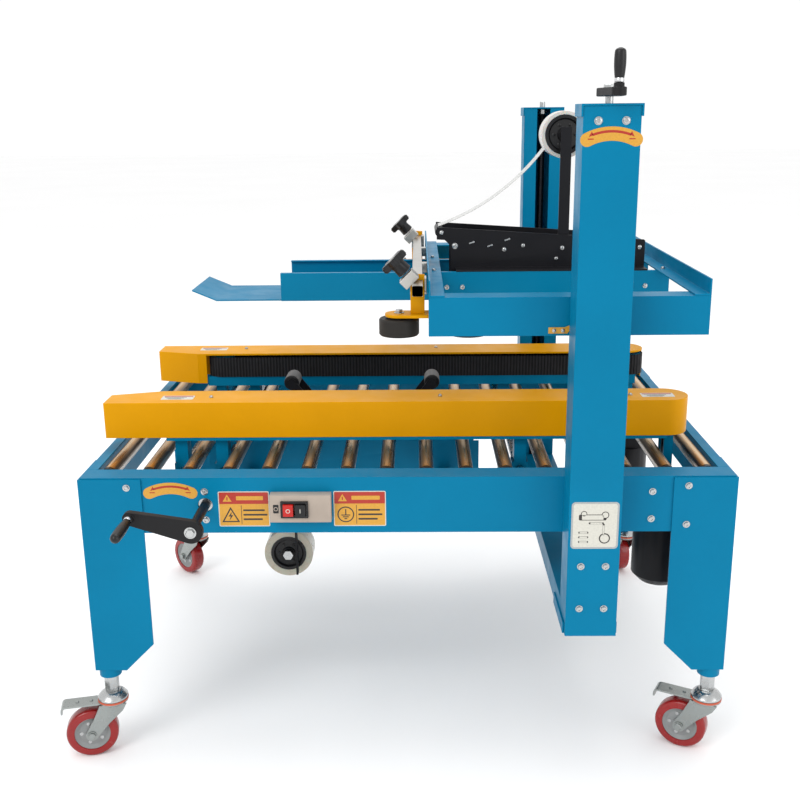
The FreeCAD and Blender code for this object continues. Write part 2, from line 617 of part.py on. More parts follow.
SWITCH_FACE = -RAIL_Y - SWITCH_DEPTH
BEZEL_FACE = SWITCH_FACE - 5
body = box(SWITCH_X[0], SWITCH_X[1], SWITCH_FACE, -RAIL_Y, *SWITCH_Z)
mids = sorted(BUTTON_MIDS.values())
bezel = box(mids[0] - BUTTON_WIDTH / 2 - 3, mids[1] + BUTTON_WIDTH / 2 + 3, BEZEL_FACE, SWITCH_FACE,
            BUTTON_MID_Z - BUTTON_HEIGHT / 2 - 3, BUTTON_MID_Z + BUTTON_HEIGHT / 2 + 3)
switch_box = fuse([body, bezel])
for mid in mids:
    switch_box = switch_box.cut(button_pocket(mid, GAP, BEZEL_FACE - 1, SWITCH_FACE + 10))
add("switch_box", switch_box)
for name, mid in BUTTON_MIDS.items():
    add(name, button_pocket(mid, 0, BEZEL_FACE - 4, SWITCH_FACE + 10 - BUTTON_TRAVEL - 1))


# ---------------------------------------------------------------- castors
def at_castor(shape, corner):
    """Turn a castor piece from its own +X trail to its heading and place it under its leg."""
    sx = -1 if "left" in corner else 1
    sy = -1 if "front" in corner else 1
    placed = shape.copy()
    placed.rotate(V(0, 0, 0), UP, CASTOR_HEADINGS[corner])
    placed.translate(V(sx * (HALF_L - SOCKET_INSET), sy * (HALF_W - SOCKET_INSET), 0))
    return placed


def castor_fork(with_pedal):
    """Swivel head, two cheeks down to the axle, and on the braked ones a foot pedal."""
    cheek_y = CASTOR_WIDTH / 2 + 2
    head = rod_z(0, 0, CASTOR_FORK_TOP - 10, CASTOR_FORK_TOP - GAP, CASTOR_HEAD_RADIUS)
    outline = [(-22, CASTOR_FORK_TOP - 8), (26, CASTOR_FORK_TOP - 8), (CASTOR_TRAIL + 12, CASTOR_RADIUS),
               (CASTOR_TRAIL + 8, CASTOR_RADIUS - 10), (CASTOR_TRAIL - 8, CASTOR_RADIUS - 10)]
    cheek = prism_xz(outline, -cheek_y - CASTOR_PLATE, -cheek_y)
    axle = rod_y(CASTOR_TRAIL, CASTOR_RADIUS, -cheek_y - CASTOR_PLATE - 5, cheek_y + CASTOR_PLATE + 5,
                 CASTOR_AXLE_RADIUS)
    bore = rod_z(0, 0, CASTOR_FORK_TOP - 20, CASTOR_FORK_TOP + 1, CASTOR_STEM_RADIUS + RUNNING)
    solids = [fuse([head, cheek, to_rear(cheek), axle]).cut(bore)]
    if with_pedal:
        top = CASTOR_FORK_TOP - 4
        plate = box(10, PEDAL_REACH, -15, 15, top - CASTOR_PLATE, top)
        curl = box(PEDAL_REACH - CASTOR_PLATE, PEDAL_REACH, -15, 15, top - 14, top)
        solids.append(fuse([plate, curl]).cut(head))
    return solids


def castor_wheel():
    half = CASTOR_WIDTH / 2
    tyre = rod_y(CASTOR_TRAIL, CASTOR_RADIUS, -half, half, CASTOR_RADIUS)
    return tyre.cut(rod_y(CASTOR_TRAIL, CASTOR_RADIUS, -half - 1, half + 1, CASTOR_AXLE_RADIUS + RUNNING))


def castor_stem():
    """Fixed stem and upper cup: screwed up into the leg's socket."""
    stem = rod_z(0, 0, CASTOR_FORK_TOP - 9, LEG_BOTTOM - 4, CASTOR_STEM_RADIUS)
    cup = Part.makeCone(CASTOR_HEAD_RADIUS, CASTOR_HEAD_RADIUS - 8, CASTOR_HEAD_TOP - CASTOR_FORK_TOP,
                        V(0, 0, CASTOR_FORK_TOP), UP)
    nut = rod_z(0, 0, CASTOR_HEAD_TOP, SOCKET_BOTTOM, CASTOR_STEM_RADIUS + 3)
    return fuse([stem, cup, nut])


for corner in CASTOR_HEADINGS:
    add(corner + "_castor_fork", *[at_castor(s, corner) for s in castor_fork("front" in corner)])
    add(corner + "_castor_wheel", at_castor(castor_wheel(), corner))


# ---------------------------------------------------------------- bolts on the table and columns
def bolts_on_front():
    """Bolt heads on the operator's faces: leg plates, rail and column."""
    solids = []
    for x, z in ((-464, -16), (464, -16), (464, -84), (406, -27), (406, -75),
                 (WIDTH_SCREW_X, -24), (WIDTH_SCREW_X, -74)):
        face = -HALF_W if abs(x) > RAIL_X - LEG_FACE else -RAIL_Y
        solids.append(rod_y(x, TABLE_TOP + z, face - BOLT_HEAD, face, BOLT_RADIUS))
    for dx in (-20, 20):
        for z in (COLUMN_BOTTOM + 50, COLUMN_BOTTOM + 125, COLUMN_TOP - 24):
            solids.append(rod_y(COLUMN_X + dx, z, -COLUMN_Y - BOLT_HEAD, -COLUMN_Y, BOLT_RADIUS))
    return solids


def bolts_on_ends():
    """Bolt heads through the legs' end plates into the short rails, both ends."""
    left = [rod(V(-HALF_L - BOLT_HEAD, y, TABLE_TOP + z), V(-HALF_L, y, TABLE_TOP + z), BOLT_RADIUS)
            for y in (-HALF_W + 32, HALF_W - 32) for z in (-16, -80)]
    return left + [to_other_end(s) for s in left]


front_bolts = bolts_on_front()
stems = [at_castor(castor_stem(), corner) for corner in CASTOR_HEADINGS]
add("frame_fasteners", *front_bolts, *[to_rear(s) for s in front_bolts], *bolts_on_ends(), *stems)


# ---------------------------------------------------------------- head frame
def head_rail():
    """Near head rail: folded angle, web outside and wide flange on top."""
    web = box(HEAD_X[0], HEAD_X[1], -HEAD_Y, -HEAD_Y + SHEET, HEAD_BOTTOM, HEAD_TOP)
    flange = box(HEAD_X[0], HEAD_X[1], -HEAD_Y, -HEAD_Y + HEAD_FLANGE, HEAD_TOP - SHEET, HEAD_TOP)
    return fuse([web, flange])


def head_block():
    """Slide block inside the column, its neck through the slot, and its nut bore on the screw."""
    top = BLOCK_BOTTOM + BLOCK_HEIGHT
    half_x = COLUMN_WIDTH / 2 - SHEET - 3
    neck_x = COLUMN_SLOT / 2 - 2.5
    block = box(COLUMN_X - half_x, COLUMN_X + half_x, -COLUMN_Y + SHEET + 6, -RAIL_Y - SHEET - 6,
                BLOCK_BOTTOM, top)
    neck = box(COLUMN_X - neck_x, COLUMN_X + neck_x, -RAIL_Y - SHEET - 6, -HEAD_Y, BLOCK_BOTTOM + 5, top - 5)
    bore = rod_z(COLUMN_X, -SCREW_Y, BLOCK_BOTTOM - 1, top + 1, LIFT_SCREW_RADIUS + SCREW_FIT)
    return fuse([block, neck]).cut(bore)


def head_end_angle():
    """Angle across the infeed end of the head, lying on both rails, with its other leg upright."""
    x = HEAD_X[0]
    flat = box(x, x + ANGLE_LEG, -HEAD_Y, HEAD_Y, HEAD_TOP, HEAD_TOP + SHEET)
    upright = box(x, x + SHEET, -HEAD_Y, HEAD_Y, HEAD_TOP + SHEET, HEAD_TOP + SHEET + ANGLE_RISE)
    return fuse([flat, upright])


head_side = [head_rail(), head_block()]
add("head_rails", *head_side, *[to_rear(s) for s in head_side])
infeed_angle = head_end_angle()
add("head_end_angles", infeed_angle, to_other_end(infeed_angle, sum(HEAD_X) / 2))


def upper_trough():
    """Channel that holds the tape cartridge, with a ski that leads cartons under it."""
    x0, x1 = UPPER_TROUGH_X
    body = channel(x0, x1, UPPER_TROUGH_BOTTOM, HEAD_TOP, THIN_SHEET)
    slot = box(HEAD_X[0] - 2, HEAD_X[1] - 23, -CARTRIDGE_SLOT, CARTRIDGE_SLOT,
               UPPER_TROUGH_BOTTOM - 1, UPPER_TROUGH_BOTTOM + THIN_SHEET + 1)
    bottom, top = UPPER_TROUGH_BOTTOM, UPPER_TROUGH_BOTTOM + THIN_SHEET
    profile = [(x0, bottom), (x0, top), (SKI_BEND_X, top), (SKI_TIP_X, top + SKI_TIP_RISE),
               (SKI_TIP_X, bottom + SKI_TIP_RISE), (SKI_BEND_X, bottom)]
    ski = prism_xz(profile, -SKI_WIDTH / 2, SKI_WIDTH / 2)
    return fuse([body.cut(slot), ski])


add("upper_trough", upper_trough())


# ---------------------------------------------------------------- tape cartridges
def arm_between(pivot, tip, roller_radius, name):
    """A sprung arm: two cheeks, a boss on the pivot and an axle, plus its roller."""
    along = V(tip[0] - pivot[0], 0, tip[1] - pivot[1])
    side = V(0, 1, 0).cross(along)
    side.normalize()
    p, t = V(pivot[0], 0, pivot[1]), V(tip[0], 0, tip[1])
    corners = [p + side * ARM_BOSS_RADIUS, t + side * ARM_TIP_RADIUS,
               t - side * ARM_TIP_RADIUS, p - side * ARM_BOSS_RADIUS]
    cheeks = []
    for y in (-ARM_HALF_WIDTH, ARM_HALF_WIDTH - ARM_PLATE):
        outline = [c + V(0, y, 0) for c in corners]
        web = Part.Face(Part.makePolygon(outline + outline[:1])).extrude(V(0, ARM_PLATE, 0))
        ends = [rod_y(pivot[0], pivot[1], y, y + ARM_PLATE, ARM_BOSS_RADIUS),
                rod_y(tip[0], tip[1], y, y + ARM_PLATE, ARM_TIP_RADIUS)]
        cheeks += [web] + ends
    boss = rod_y(pivot[0], pivot[1], -ARM_HALF_WIDTH, ARM_HALF_WIDTH, ARM_BOSS_RADIUS)
    axle = rod_y(tip[0], tip[1], -ARM_HALF_WIDTH, ARM_HALF_WIDTH, ARM_AXLE_RADIUS)
    bore = rod_y(pivot[0], pivot[1], -ARM_HALF_WIDTH - 1, ARM_HALF_WIDTH + 1, ARM_PIVOT_RADIUS + RUNNING)
    half = ARM_ROLLER_LENGTH / 2
    roller = rod_y(tip[0], tip[1], -half, half, roller_radius)
    roller = roller.cut(rod_y(tip[0], tip[1], -half - 1, half + 1, ARM_AXLE_RADIUS + RUNNING))
    add(name + "_arm", fuse(cheeks + [boss, axle]).cut(bore))
    add(name + "_roller", roller)


def cross_pins(points, radius):
    return [rod_y(x, z, -PLATE_IN, PLATE_IN, radius) for x, z in points]


def plate_with_foot(outline, foot_x, foot_z):
    """Near side plate of a cartridge, and the foot that rests on the trough's lip."""
    plate = prism_xz(outline, -CARTRIDGE_HALF_WIDTH, -PLATE_IN)
    foot = box(foot_x[0], foot_x[1], -TROUGH_HALF, -CARTRIDGE_HALF_WIDTH, foot_z, foot_z + CARTRIDGE_PLATE)
    return fuse([plate, foot])


def tape_roll(name, x, z, radius, core):
    half = TAPE_WIDTH / 2
    tape = rod_y(x, z, -half, half, radius).cut(rod_y(x, z, -half - 1, half + 1, core))
    hub = rod_y(x, z, -half - 1, half + 1, core).cut(
        rod_y(x, z, -half - 2, half + 2, ROLL_SHAFT_RADIUS + RUNNING))
    add(name, tape, hub)


UPPER_PLATE = [(57, 897), (443, 871), (445, 869), (445, 780), (437, 775), (91, 775), (83, 783),
               (83, 862), (72, 873), (57, 874)]
upper_plate = plate_with_foot(UPPER_PLATE, (92.0, 443.0), HEAD_TOP)
roll_x, roll_z = UPPER_ROLL[0], UPPER_ROLL[1]
bracket = fuse([box(roll_x - 10, roll_x + 10, -PLATE_IN, -PLATE_IN + 4, 830, roll_z + 14),
                rod_y(roll_x, roll_z, -PLATE_IN, TAPE_WIDTH / 2 + 6, ROLL_SHAFT_RADIUS)])
upper_pins = cross_pins([(x, UPPER_PIVOT_Z) for x in UPPER_PIVOTS_X], ARM_PIVOT_RADIUS)
upper_pins += cross_pins([(GUIDE[0], GUIDE[1])], GUIDE[2])
upper_pins += cross_pins([(183, 855), (400, 850)], ARM_AXLE_RADIUS)
add("upper_cartridge", upper_plate, to_rear(upper_plate), bracket, *upper_pins)
tape_roll("upper_tape_roll", *UPPER_ROLL)

for name, pivot_x, direction in (("upper_front", UPPER_PIVOTS_X[0], -1), ("upper_rear", UPPER_PIVOTS_X[1], 1)):
    pivot = (pivot_x, UPPER_PIVOT_Z)
    tip = (pivot_x + direction * UPPER_ARM_REACH[0], UPPER_PIVOT_Z + UPPER_ARM_REACH[1])
    arm_between(pivot, tip, UPPER_ROLLER_RADIUS, name)

LOWER_PLATE = [(LOWER_PLATE_X[0], 447), (LOWER_PLATE_X[0], 511), (LOWER_PLATE_X[0] + 11, 522),
               (LOWER_PLATE_X[1] - 11, 522), (LOWER_PLATE_X[1], 511), (LOWER_PLATE_X[1], 447),
               (LOWER_PLATE_X[1] - 9, 438), (LOWER_PLATE_X[0] + 9, 438)]
lower_plate = plate_with_foot(LOWER_PLATE, (LOWER_PLATE_X[0] + 6, LOWER_PLATE_X[1] - 6), LOWER_TROUGH_TOP)
low_x, low_z = LOWER_ROLL[0], LOWER_ROLL[1]
lower_bracket = fuse([box(low_x - 12, low_x + 12, PLATE_IN - 4, PLATE_IN, low_z - 20, 500),
                      rod_y(low_x, low_z, -TAPE_WIDTH / 2 - 8, PLATE_IN, ROLL_SHAFT_RADIUS)])
strap = box(low_x + 17, low_x + 21, -PLATE_IN, -PLATE_IN + 14, low_z - LOWER_ROLL[2] + 12, 470)
lower_pins = cross_pins([(x, LOWER_PIVOT_Z) for x in LOWER_PIVOTS_X], ARM_PIVOT_RADIUS)
lower_pins += cross_pins([(-90, 460), (20, 455)], ARM_AXLE_RADIUS)
add("lower_cartridge", lower_plate, to_rear(lower_plate), lower_bracket, strap, *lower_pins)
tape_roll("lower_tape_roll", *LOWER_ROLL)

for name, pivot_x, direction in (("lower_front", LOWER_PIVOTS_X[0], -1), ("lower_rear", LOWER_PIVOTS_X[1], 1)):
    pivot = (pivot_x, LOWER_PIVOT_Z)
    tip = (pivot_x + direction * LOWER_ARM_REACH[0], LOWER_PIVOT_Z + LOWER_ARM_REACH[1])
    arm_between(pivot, tip, LOWER_ROLLER_RADIUS, name)


def tape_web():
    """Tape from the roll's lower left to the front guide pin, sagging a little on its way."""
    x, z, radius, _ = UPPER_ROLL
    off = radius + 0.5
    angle = math.radians(214.9)
    start = V(x + off * math.cos(angle), 0, z + off * math.sin(angle))
    end = V(GUIDE[0] - 1.5, 0, GUIDE[1] + GUIDE[2] + 0.7)
    chord = end - start
    normal = V(chord.z, 0, -chord.x)
    normal.normalize()
    middle = (start + end) * 0.5 - normal * TAPE_SAG
    lift = V(0, 0, TAPE_THICKNESS)
    low = Part.Arc(start, middle, end).toShape()
    high = Part.Arc(start + lift, middle + lift, end + lift).toShape()
    sides = [Part.makeLine(start, start + lift), Part.makeLine(end, end + lift)]
    strip = Part.Face(Part.Wire([low, sides[1], high, sides[0]])).extrude(V(0, TAPE_WIDTH, 0))
    strip.translate(V(0, -TAPE_WIDTH / 2, 0))
    return strip


add("upper_tape", tape_web())


# ---------------------------------------------------------------- flap press wheels
def press_bar():
    """Square bar across the infeed end of the head, on two spacers."""
    bar = box(PRESS_BAR_X, PRESS_BAR_X + PRESS_BAR, -PRESS_BAR_LENGTH / 2, PRESS_BAR_LENGTH / 2,
              PRESS_BAR_Z, PRESS_BAR_Z + PRESS_BAR)
    y0, y1 = PRESS_SPACER_Y, PRESS_SPACER_Y + PRESS_SPACER_WIDTH
    spacer = box(PRESS_BAR_X + PRESS_BAR, HEAD_X[0], -y1, -y0, PRESS_BAR_Z, PRESS_BAR_Z + PRESS_BAR)
    return fuse([bar, spacer, to_rear(spacer)])


BAR_MID = (PRESS_BAR_X + PRESS_BAR / 2, PRESS_BAR_Z + PRESS_BAR / 2)
CLAMP_Y0 = -CLAMP_Y - CLAMP_WIDTH / 2
CLAMP_Y1 = -CLAMP_Y + CLAMP_WIDTH / 2


def bar_passage(y0, y1):
    c = CLAMP_CLEARANCE
    return box(PRESS_BAR_X - c, PRESS_BAR_X + PRESS_BAR + c, y0, y1, PRESS_BAR_Z - c, PRESS_BAR_Z + PRESS_BAR + c)


def clamp_block():
    """Block on the square bar, leaning back at 45 degrees towards its knob."""
    lean = math.radians(135)
    u = (math.cos(lean), math.sin(lean))
    v = (u[1], -u[0])
    points = [(BAR_MID[0] + a * u[0] + b * v[0], BAR_MID[1] + a * u[1] + b * v[1])
              for a, b in ((-14, -CLAMP_HALF), (CLAMP_REACH, -CLAMP_HALF), (CLAMP_REACH, CLAMP_HALF),
                           (-14, CLAMP_HALF))]
    block = prism_xz(points, CLAMP_Y0, CLAMP_Y1)
    wide = box(-100, HEAD_X[0] - 2.5, CLAMP_Y0, CLAMP_Y1, 700, 900)
    return block.common(wide).cut(bar_passage(CLAMP_Y0 - 1, CLAMP_Y1 + 1))


def star_knob():
    """Knob at 45 degrees on the clamp block: a stem and a wide head."""
    lean = V(-1, 0, 1)
    lean.normalize()
    base = V(BAR_MID[0], -CLAMP_Y, BAR_MID[1]) + lean * CLAMP_REACH
    stem = rod(base, base + lean * 20, 13)
    head = rod(base + lean * 20, base + lean * 32, KNOB_RADIUS)
    return fuse([stem, head])


def press_plate():
    """Flat bar over both wheels, the post up past the square bar, and the two wheel axles."""
    y = -PRESS_PLATE_Y
    z0, z1 = PRESS_PLATE_Z, PRESS_PLATE_Z + PRESS_PLATE_THICK
    plate = stadium(PRESS_WHEEL_X[0], PRESS_WHEEL_X[1], y, PRESS_PLATE_WIDTH / 2, z0, z1)
    post = box(BAR_MID[0] - 11.5, BAR_MID[0] + 11.5, CLAMP_Y0 - PRESS_PLATE_THICK, CLAMP_Y0,
               z1, PRESS_BAR_Z + PRESS_BAR + 10)
    post = post.cut(bar_passage(-HALF_W, 0))
    wheel_top = z0 - PRESS_WHEEL_GAP
    fittings = []
    for x in PRESS_WHEEL_X:
        fittings.append(rod_z(x, y, wheel_top - PRESS_WHEEL_HEIGHT + 2, z1 + 7, PRESS_AXLE_RADIUS))
        fittings.append(rod_z(x, y, wheel_top + GAP, z0, PRESS_AXLE_RADIUS + 4))
        fittings.append(rod_z(x, y, z1, z1 + 5, PRESS_AXLE_RADIUS + 3))
    return fuse([plate, post] + fittings)


def press_wheel(x):
    top = PRESS_PLATE_Z - PRESS_WHEEL_GAP
    low = top - PRESS_WHEEL_HEIGHT
    wheel = rod_z(x, -PRESS_PLATE_Y, low, top, PRESS_WHEEL_RADIUS)
    return wheel.cut(rod_z(x, -PRESS_PLATE_Y, low + 1, top + 1, PRESS_AXLE_RADIUS + RUNNING))


add("press_bar", press_bar())
near_bracket = [press_plate(), clamp_block(), star_knob()]
add("near_press_bracket", *near_bracket)
add("far_press_bracket", *[to_rear(s) for s in near_bracket])
for place, x in zip(("infeed", "outfeed"), PRESS_WHEEL_X):
    wheel = press_wheel(x)
    add("near_%s_press_wheel" % place, wheel)
    add("far_%s_press_wheel" % place, to_rear(wheel))


# ---------------------------------------------------------------- origin and export
def whole_box():
    total = FreeCAD.BoundBox()
    for solids in pieces.values():
        for solid in solids:
            total.add(solid.BoundBox)
    return total


extent = whole_box()
ORIGIN_SHIFT = V(-(extent.XMin + extent.XMax) / 2, -(extent.YMin + extent.YMax) / 2, -extent.ZMin)


def write_parts():
    os.makedirs("parts", exist_ok=True)
    for name, solids in sorted(pieces.items()):
        moved = [solid.copy() for solid in solids]
        for solid in moved:
            solid.translate(ORIGIN_SHIFT)
        shape = moved[0] if len(moved) == 1 else Part.makeCompound(moved)
        shape.exportStep("parts/%s.step" % name)
    print("pieces", len(pieces))
    print("size", [round(v, 1) for v in (extent.XLength, extent.YLength, extent.ZLength)])
    print("shift", [round(v, 4) for v in ORIGIN_SHIFT])


write_parts()
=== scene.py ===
"""Looks of a side-belt carton sealer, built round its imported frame.

Lengths below are millimetres, measured from the middle of the table on the floor: X along the
carton path, Y towards the rear, Z up. place() turns them into the frame's metres.
"""

import json
import math

import bmesh
import bpy
import numpy as np
from mathutils import Matrix, Vector

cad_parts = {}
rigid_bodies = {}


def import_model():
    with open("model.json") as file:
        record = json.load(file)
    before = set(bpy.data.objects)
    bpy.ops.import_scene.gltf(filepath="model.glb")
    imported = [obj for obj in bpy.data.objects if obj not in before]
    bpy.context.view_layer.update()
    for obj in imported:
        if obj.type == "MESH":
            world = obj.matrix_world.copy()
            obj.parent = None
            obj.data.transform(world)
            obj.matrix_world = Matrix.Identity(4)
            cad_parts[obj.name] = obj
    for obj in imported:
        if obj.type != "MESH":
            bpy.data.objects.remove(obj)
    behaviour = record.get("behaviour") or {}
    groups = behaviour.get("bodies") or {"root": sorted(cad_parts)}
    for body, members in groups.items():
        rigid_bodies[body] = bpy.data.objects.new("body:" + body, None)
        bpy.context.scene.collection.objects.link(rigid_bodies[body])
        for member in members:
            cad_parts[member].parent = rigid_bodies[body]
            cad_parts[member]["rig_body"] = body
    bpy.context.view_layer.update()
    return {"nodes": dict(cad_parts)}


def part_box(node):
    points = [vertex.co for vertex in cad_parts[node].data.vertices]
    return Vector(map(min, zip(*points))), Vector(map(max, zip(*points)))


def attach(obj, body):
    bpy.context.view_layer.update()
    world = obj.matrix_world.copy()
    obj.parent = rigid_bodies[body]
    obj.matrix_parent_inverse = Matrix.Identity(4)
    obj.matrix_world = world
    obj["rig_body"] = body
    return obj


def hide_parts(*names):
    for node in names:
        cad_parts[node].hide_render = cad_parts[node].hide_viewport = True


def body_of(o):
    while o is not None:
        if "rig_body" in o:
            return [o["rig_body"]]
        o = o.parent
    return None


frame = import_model()
MM = 0.001


def limits(node):
    """Lowest and highest corner of a CAD node, in millimetres from the table's middle."""
    low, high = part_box(node)
    return (np.array(low) - TABLE_MIDDLE) / MM, (np.array(high) - TABLE_MIDDLE) / MM


rail_low, rail_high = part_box("side_rails")
TABLE_MIDDLE = np.array([(rail_low.x + rail_high.x) / 2, (rail_low.y + rail_high.y) / 2, 0.0])
RAIL_LOW, RAIL_HIGH = limits("side_rails")
LEG_HIGH = limits("legs")[1]
TABLE_TOP = RAIL_HIGH[2]
COLUMN_LOW, COLUMN_HIGH = limits("front_column")
COLUMN_X = (COLUMN_LOW[0] + COLUMN_HIGH[0]) / 2
COLUMN_TOP = COLUMN_HIGH[2]
COLUMN_FACE = COLUMN_LOW[1] + 2             # the cap plate stands 2 mm proud of it
WIDTH_SCREW_X = (limits("width_screw")[0][0] + limits("width_screw")[1][0]) / 2
SCREW_Y = (limits("rear_lift_screw")[0][1] + limits("rear_lift_screw")[1][1]) / 2


def place(points):
    """Points in millimetres from the table's middle, as points of the frame in metres."""
    return np.asarray(points, float).reshape(-1, 3) * MM + TABLE_MIDDLE


# ------------------------------------------------------------------------------ surfaces
def unit(vector):
    vector = np.asarray(vector, float)
    return vector / np.linalg.norm(vector)


def across(axis):
    """Two unit vectors at right angles to axis and to each other."""
    axis = unit(axis)
    helper = np.array([0.0, 0, 1]) if abs(axis[2]) < 0.9 else np.array([1.0, 0, 0])
    first = unit(np.cross(helper, axis))
    return first, np.cross(axis, first)


class Surface:
    """Closed shells gathered into one piece; every face has the number of its material."""

    def __init__(self):
        self.points, self.faces, self.marks, self.count = [], [], [], 0

    def add(self, points, faces, mark=0):
        points = np.asarray(points, float).reshape(-1, 3)
        self.points.append(points)
        self.faces += [(np.asarray(face) + self.count).tolist() for face in faces]
        self.marks += [mark] * len(faces)
        self.count += len(points)

    def turned(self, profile, origin, axis, segments=32, mark=0, ring=False):
        """Profile of (radius, height) pairs carried round an axis: origin + r cos a u + r sin a v + h w.
        A ring's profile closes on itself; any other shell is closed by a flat face at each end."""
        axis = unit(axis)
        u, v = across(axis)
        profile = np.asarray(profile, float)
        a = np.linspace(0, 2 * np.pi, segments, endpoint=False)
        r, h = profile[:, 0][:, None], profile[:, 1][:, None]
        circle = np.cos(a)[:, None] * u + np.sin(a)[:, None] * v
        points = np.asarray(origin, float) + r[..., None] * circle[None] + h[..., None] * axis
        rows = len(profile)
        faces = list(quads(rows, segments, ring, True))
        if not ring:
            faces += [np.arange(segments)[::-1], np.arange(segments) + (rows - 1) * segments]
        self.add(points, faces, mark)

    def slab(self, outline, origin, u, v, thickness, mark=0):
        """Flat outline in the plane of u and v, carried by its thickness along u x v."""
        u, v = unit(u), unit(v)
        w = np.cross(u, v)
        outline = np.asarray(outline, float)
        flat = np.asarray(origin, float) + outline[:, :1] * u + outline[:, 1:] * v
        n = len(outline)
        points = np.concatenate([flat, flat + thickness * w])
        i = np.arange(n)
        sides = np.stack([i, (i + 1) % n, (i + 1) % n + n, i + n], 1)
        self.add(points, list(sides) + [i[::-1], i + n], mark)

    def block(self, x0, x1, y0, y1, z0, z1, mark=0):
        self.slab([(0, 0), (x1 - x0, 0), (x1 - x0, y1 - y0), (0, y1 - y0)], (x0, y0, z0),
                  (1, 0, 0), (0, 1, 0), z1 - z0, mark)


def quads(rows, columns, wrap_rows, wrap_columns):
    """Faces between neighbouring points of a grid, as one array."""
    i = np.arange(rows if wrap_rows else rows - 1)[:, None]
    j = np.arange(columns if wrap_columns else columns - 1)[None]
    i2, j2 = (i + 1) % rows, (j + 1) % columns
    corners = [i * columns + j, i * columns + j2, i2 * columns + j2, i2 * columns + j]
    return np.stack(np.broadcast_arrays(*corners), -1).reshape(-1, 4)


def arc(centre, radius, start, end, count=8):
    """Points on a circular arc, with angles in degrees."""
    a = np.radians(np.linspace(start, end, count))
    return np.stack([centre[0] + radius * np.cos(a), centre[1] + radius * np.sin(a)], 1)


def rounded(width, height, radius, count=5):
    """Rectangle about the origin with round corners."""
    w, h = width / 2 - radius, height / 2 - radius
    corners = [((w, -h), -90), ((w, h), 0), ((-w, h), 90), ((-w, -h), 180)]
    return np.concatenate([arc(c, radius, a, a + 90, count) for c, a in corners])


def finished(name, mesh, body, materials, replaces, bevel, smooth):
    """Gives a mesh its materials, smooth faces and soft edges, and hangs it on its CAD body."""
    for material in materials:
        mesh.materials.append(material)
    mesh.polygons.foreach_set("use_smooth", np.ones(len(mesh.polygons), bool))
    mesh.set_sharp_from_angle(angle=math.radians(smooth))
    obj = bpy.data.objects.new(name, mesh)
    bpy.context.scene.collection.objects.link(obj)
    if bevel:
        edge = obj.modifiers.new("soft_edges", "BEVEL")
        edge.width, edge.segments, edge.limit_method = bevel * MM, 2, "ANGLE"
        edge.angle_limit = math.radians(smooth)
        edge.harden_normals = True
    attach(obj, body)
    if replaces:
        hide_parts(*replaces)
    return obj


def piece(name, surface, body, materials, replaces=(), bevel=0.0, smooth=38.0):
    """Makes a piece from gathered shells."""
    mesh = bpy.data.meshes.new(name)
    mesh.from_pydata(place(np.concatenate(surface.points)), [], surface.faces)
    mesh.polygons.foreach_set("material_index", np.array(surface.marks, np.int32))
    shell = bmesh.new()
    shell.from_mesh(mesh)
    bmesh.ops.remove_doubles(shell, verts=shell.verts, dist=1e-6)
    bmesh.ops.recalc_face_normals(shell, faces=shell.faces)
    shell.to_mesh(mesh)
    shell.free()
    return finished(name, mesh, body, materials, replaces, bevel, smooth)


def dressed(node, material, bevel):
    """A CAD node's own shape with its flat faces made whole and a small radius on its edges."""
    source = frame["nodes"][node]
    mesh = source.data.copy()
    shell = bmesh.new()
    shell.from_mesh(mesh)
    bmesh.ops.remove_doubles(shell, verts=shell.verts, dist=1e-5)
    bmesh.ops.dissolve_limit(shell, angle_limit=math.radians(0.5), verts=shell.verts, edges=shell.edges)
    shell.to_mesh(mesh)
    shell.free()
    mesh.materials.clear()
    return finished(node + "_finish", mesh, body_of(source)[0], [material], [node], bevel, 38.0)


# ------------------------------------------------------------------------------ materials
class Recipe:
    """A material under construction: object coordinates, a shader, and short ways to add nodes."""

    def __init__(self, name):
        self.material = bpy.data.materials.new(name)
        self.material.use_nodes = True
        self.tree = self.material.node_tree
        self.shader = self.tree.nodes["Principled BSDF"]
        self.where = self.node("ShaderNodeTexCoord").outputs["Object"]

    def node(self, kind, **settings):
        made = self.tree.nodes.new(kind)
        for key, value in settings.items():
            setattr(made, key, value)
        return made

    def link(self, source, target):
        self.tree.links.new(source, target)

    def noise(self, scale, detail=4.0, stretch=(1, 1, 1)):
        mapping = self.node("ShaderNodeMapping")
        mapping.inputs["Scale"].default_value = stretch
        self.link(self.where, mapping.inputs["Vector"])
        noise = self.node("ShaderNodeTexNoise")
        noise.inputs["Scale"].default_value = scale
        noise.inputs["Detail"].default_value = detail
        self.link(mapping.outputs[0], noise.inputs["Vector"])
        return noise.outputs["Fac"]

    def between(self, factor, low, high):
        """A number that follows factor from low to high."""
        span = self.node("ShaderNodeMapRange")
        span.inputs["From Min"].default_value, span.inputs["From Max"].default_value = 0.3, 0.7
        span.inputs["To Min"].default_value, span.inputs["To Max"].default_value = low, high
        self.link(factor, span.inputs["Value"])
        return span.outputs[0]

    def mixed(self, factor, first, second):
        mix = self.node("ShaderNodeMix", data_type="RGBA")
        for socket, colour in ((mix.inputs[6], first), (mix.inputs[7], second)):
            if isinstance(colour, tuple):
                socket.default_value = (*colour, 1)
            else:
                self.link(colour, socket)
        self.link(factor, mix.inputs[0])
        return mix.outputs[2]

    def bump(self, height, strength, distance):
        bump = self.node("ShaderNodeBump")
        bump.inputs["Strength"].default_value = strength
        bump.inputs["Distance"].default_value = distance
        self.link(height, bump.inputs["Height"])
        self.link(bump.outputs[0], self.shader.inputs["Normal"])

    def set(self, **values):
        for name, value in values.items():
            self.shader.inputs[name.replace("_", " ")].default_value = value

    def feed(self, name, source):
        self.link(source, self.shader.inputs[name])


def shade(colour, factor):
    return tuple(min(1.0, c * factor) for c in colour)


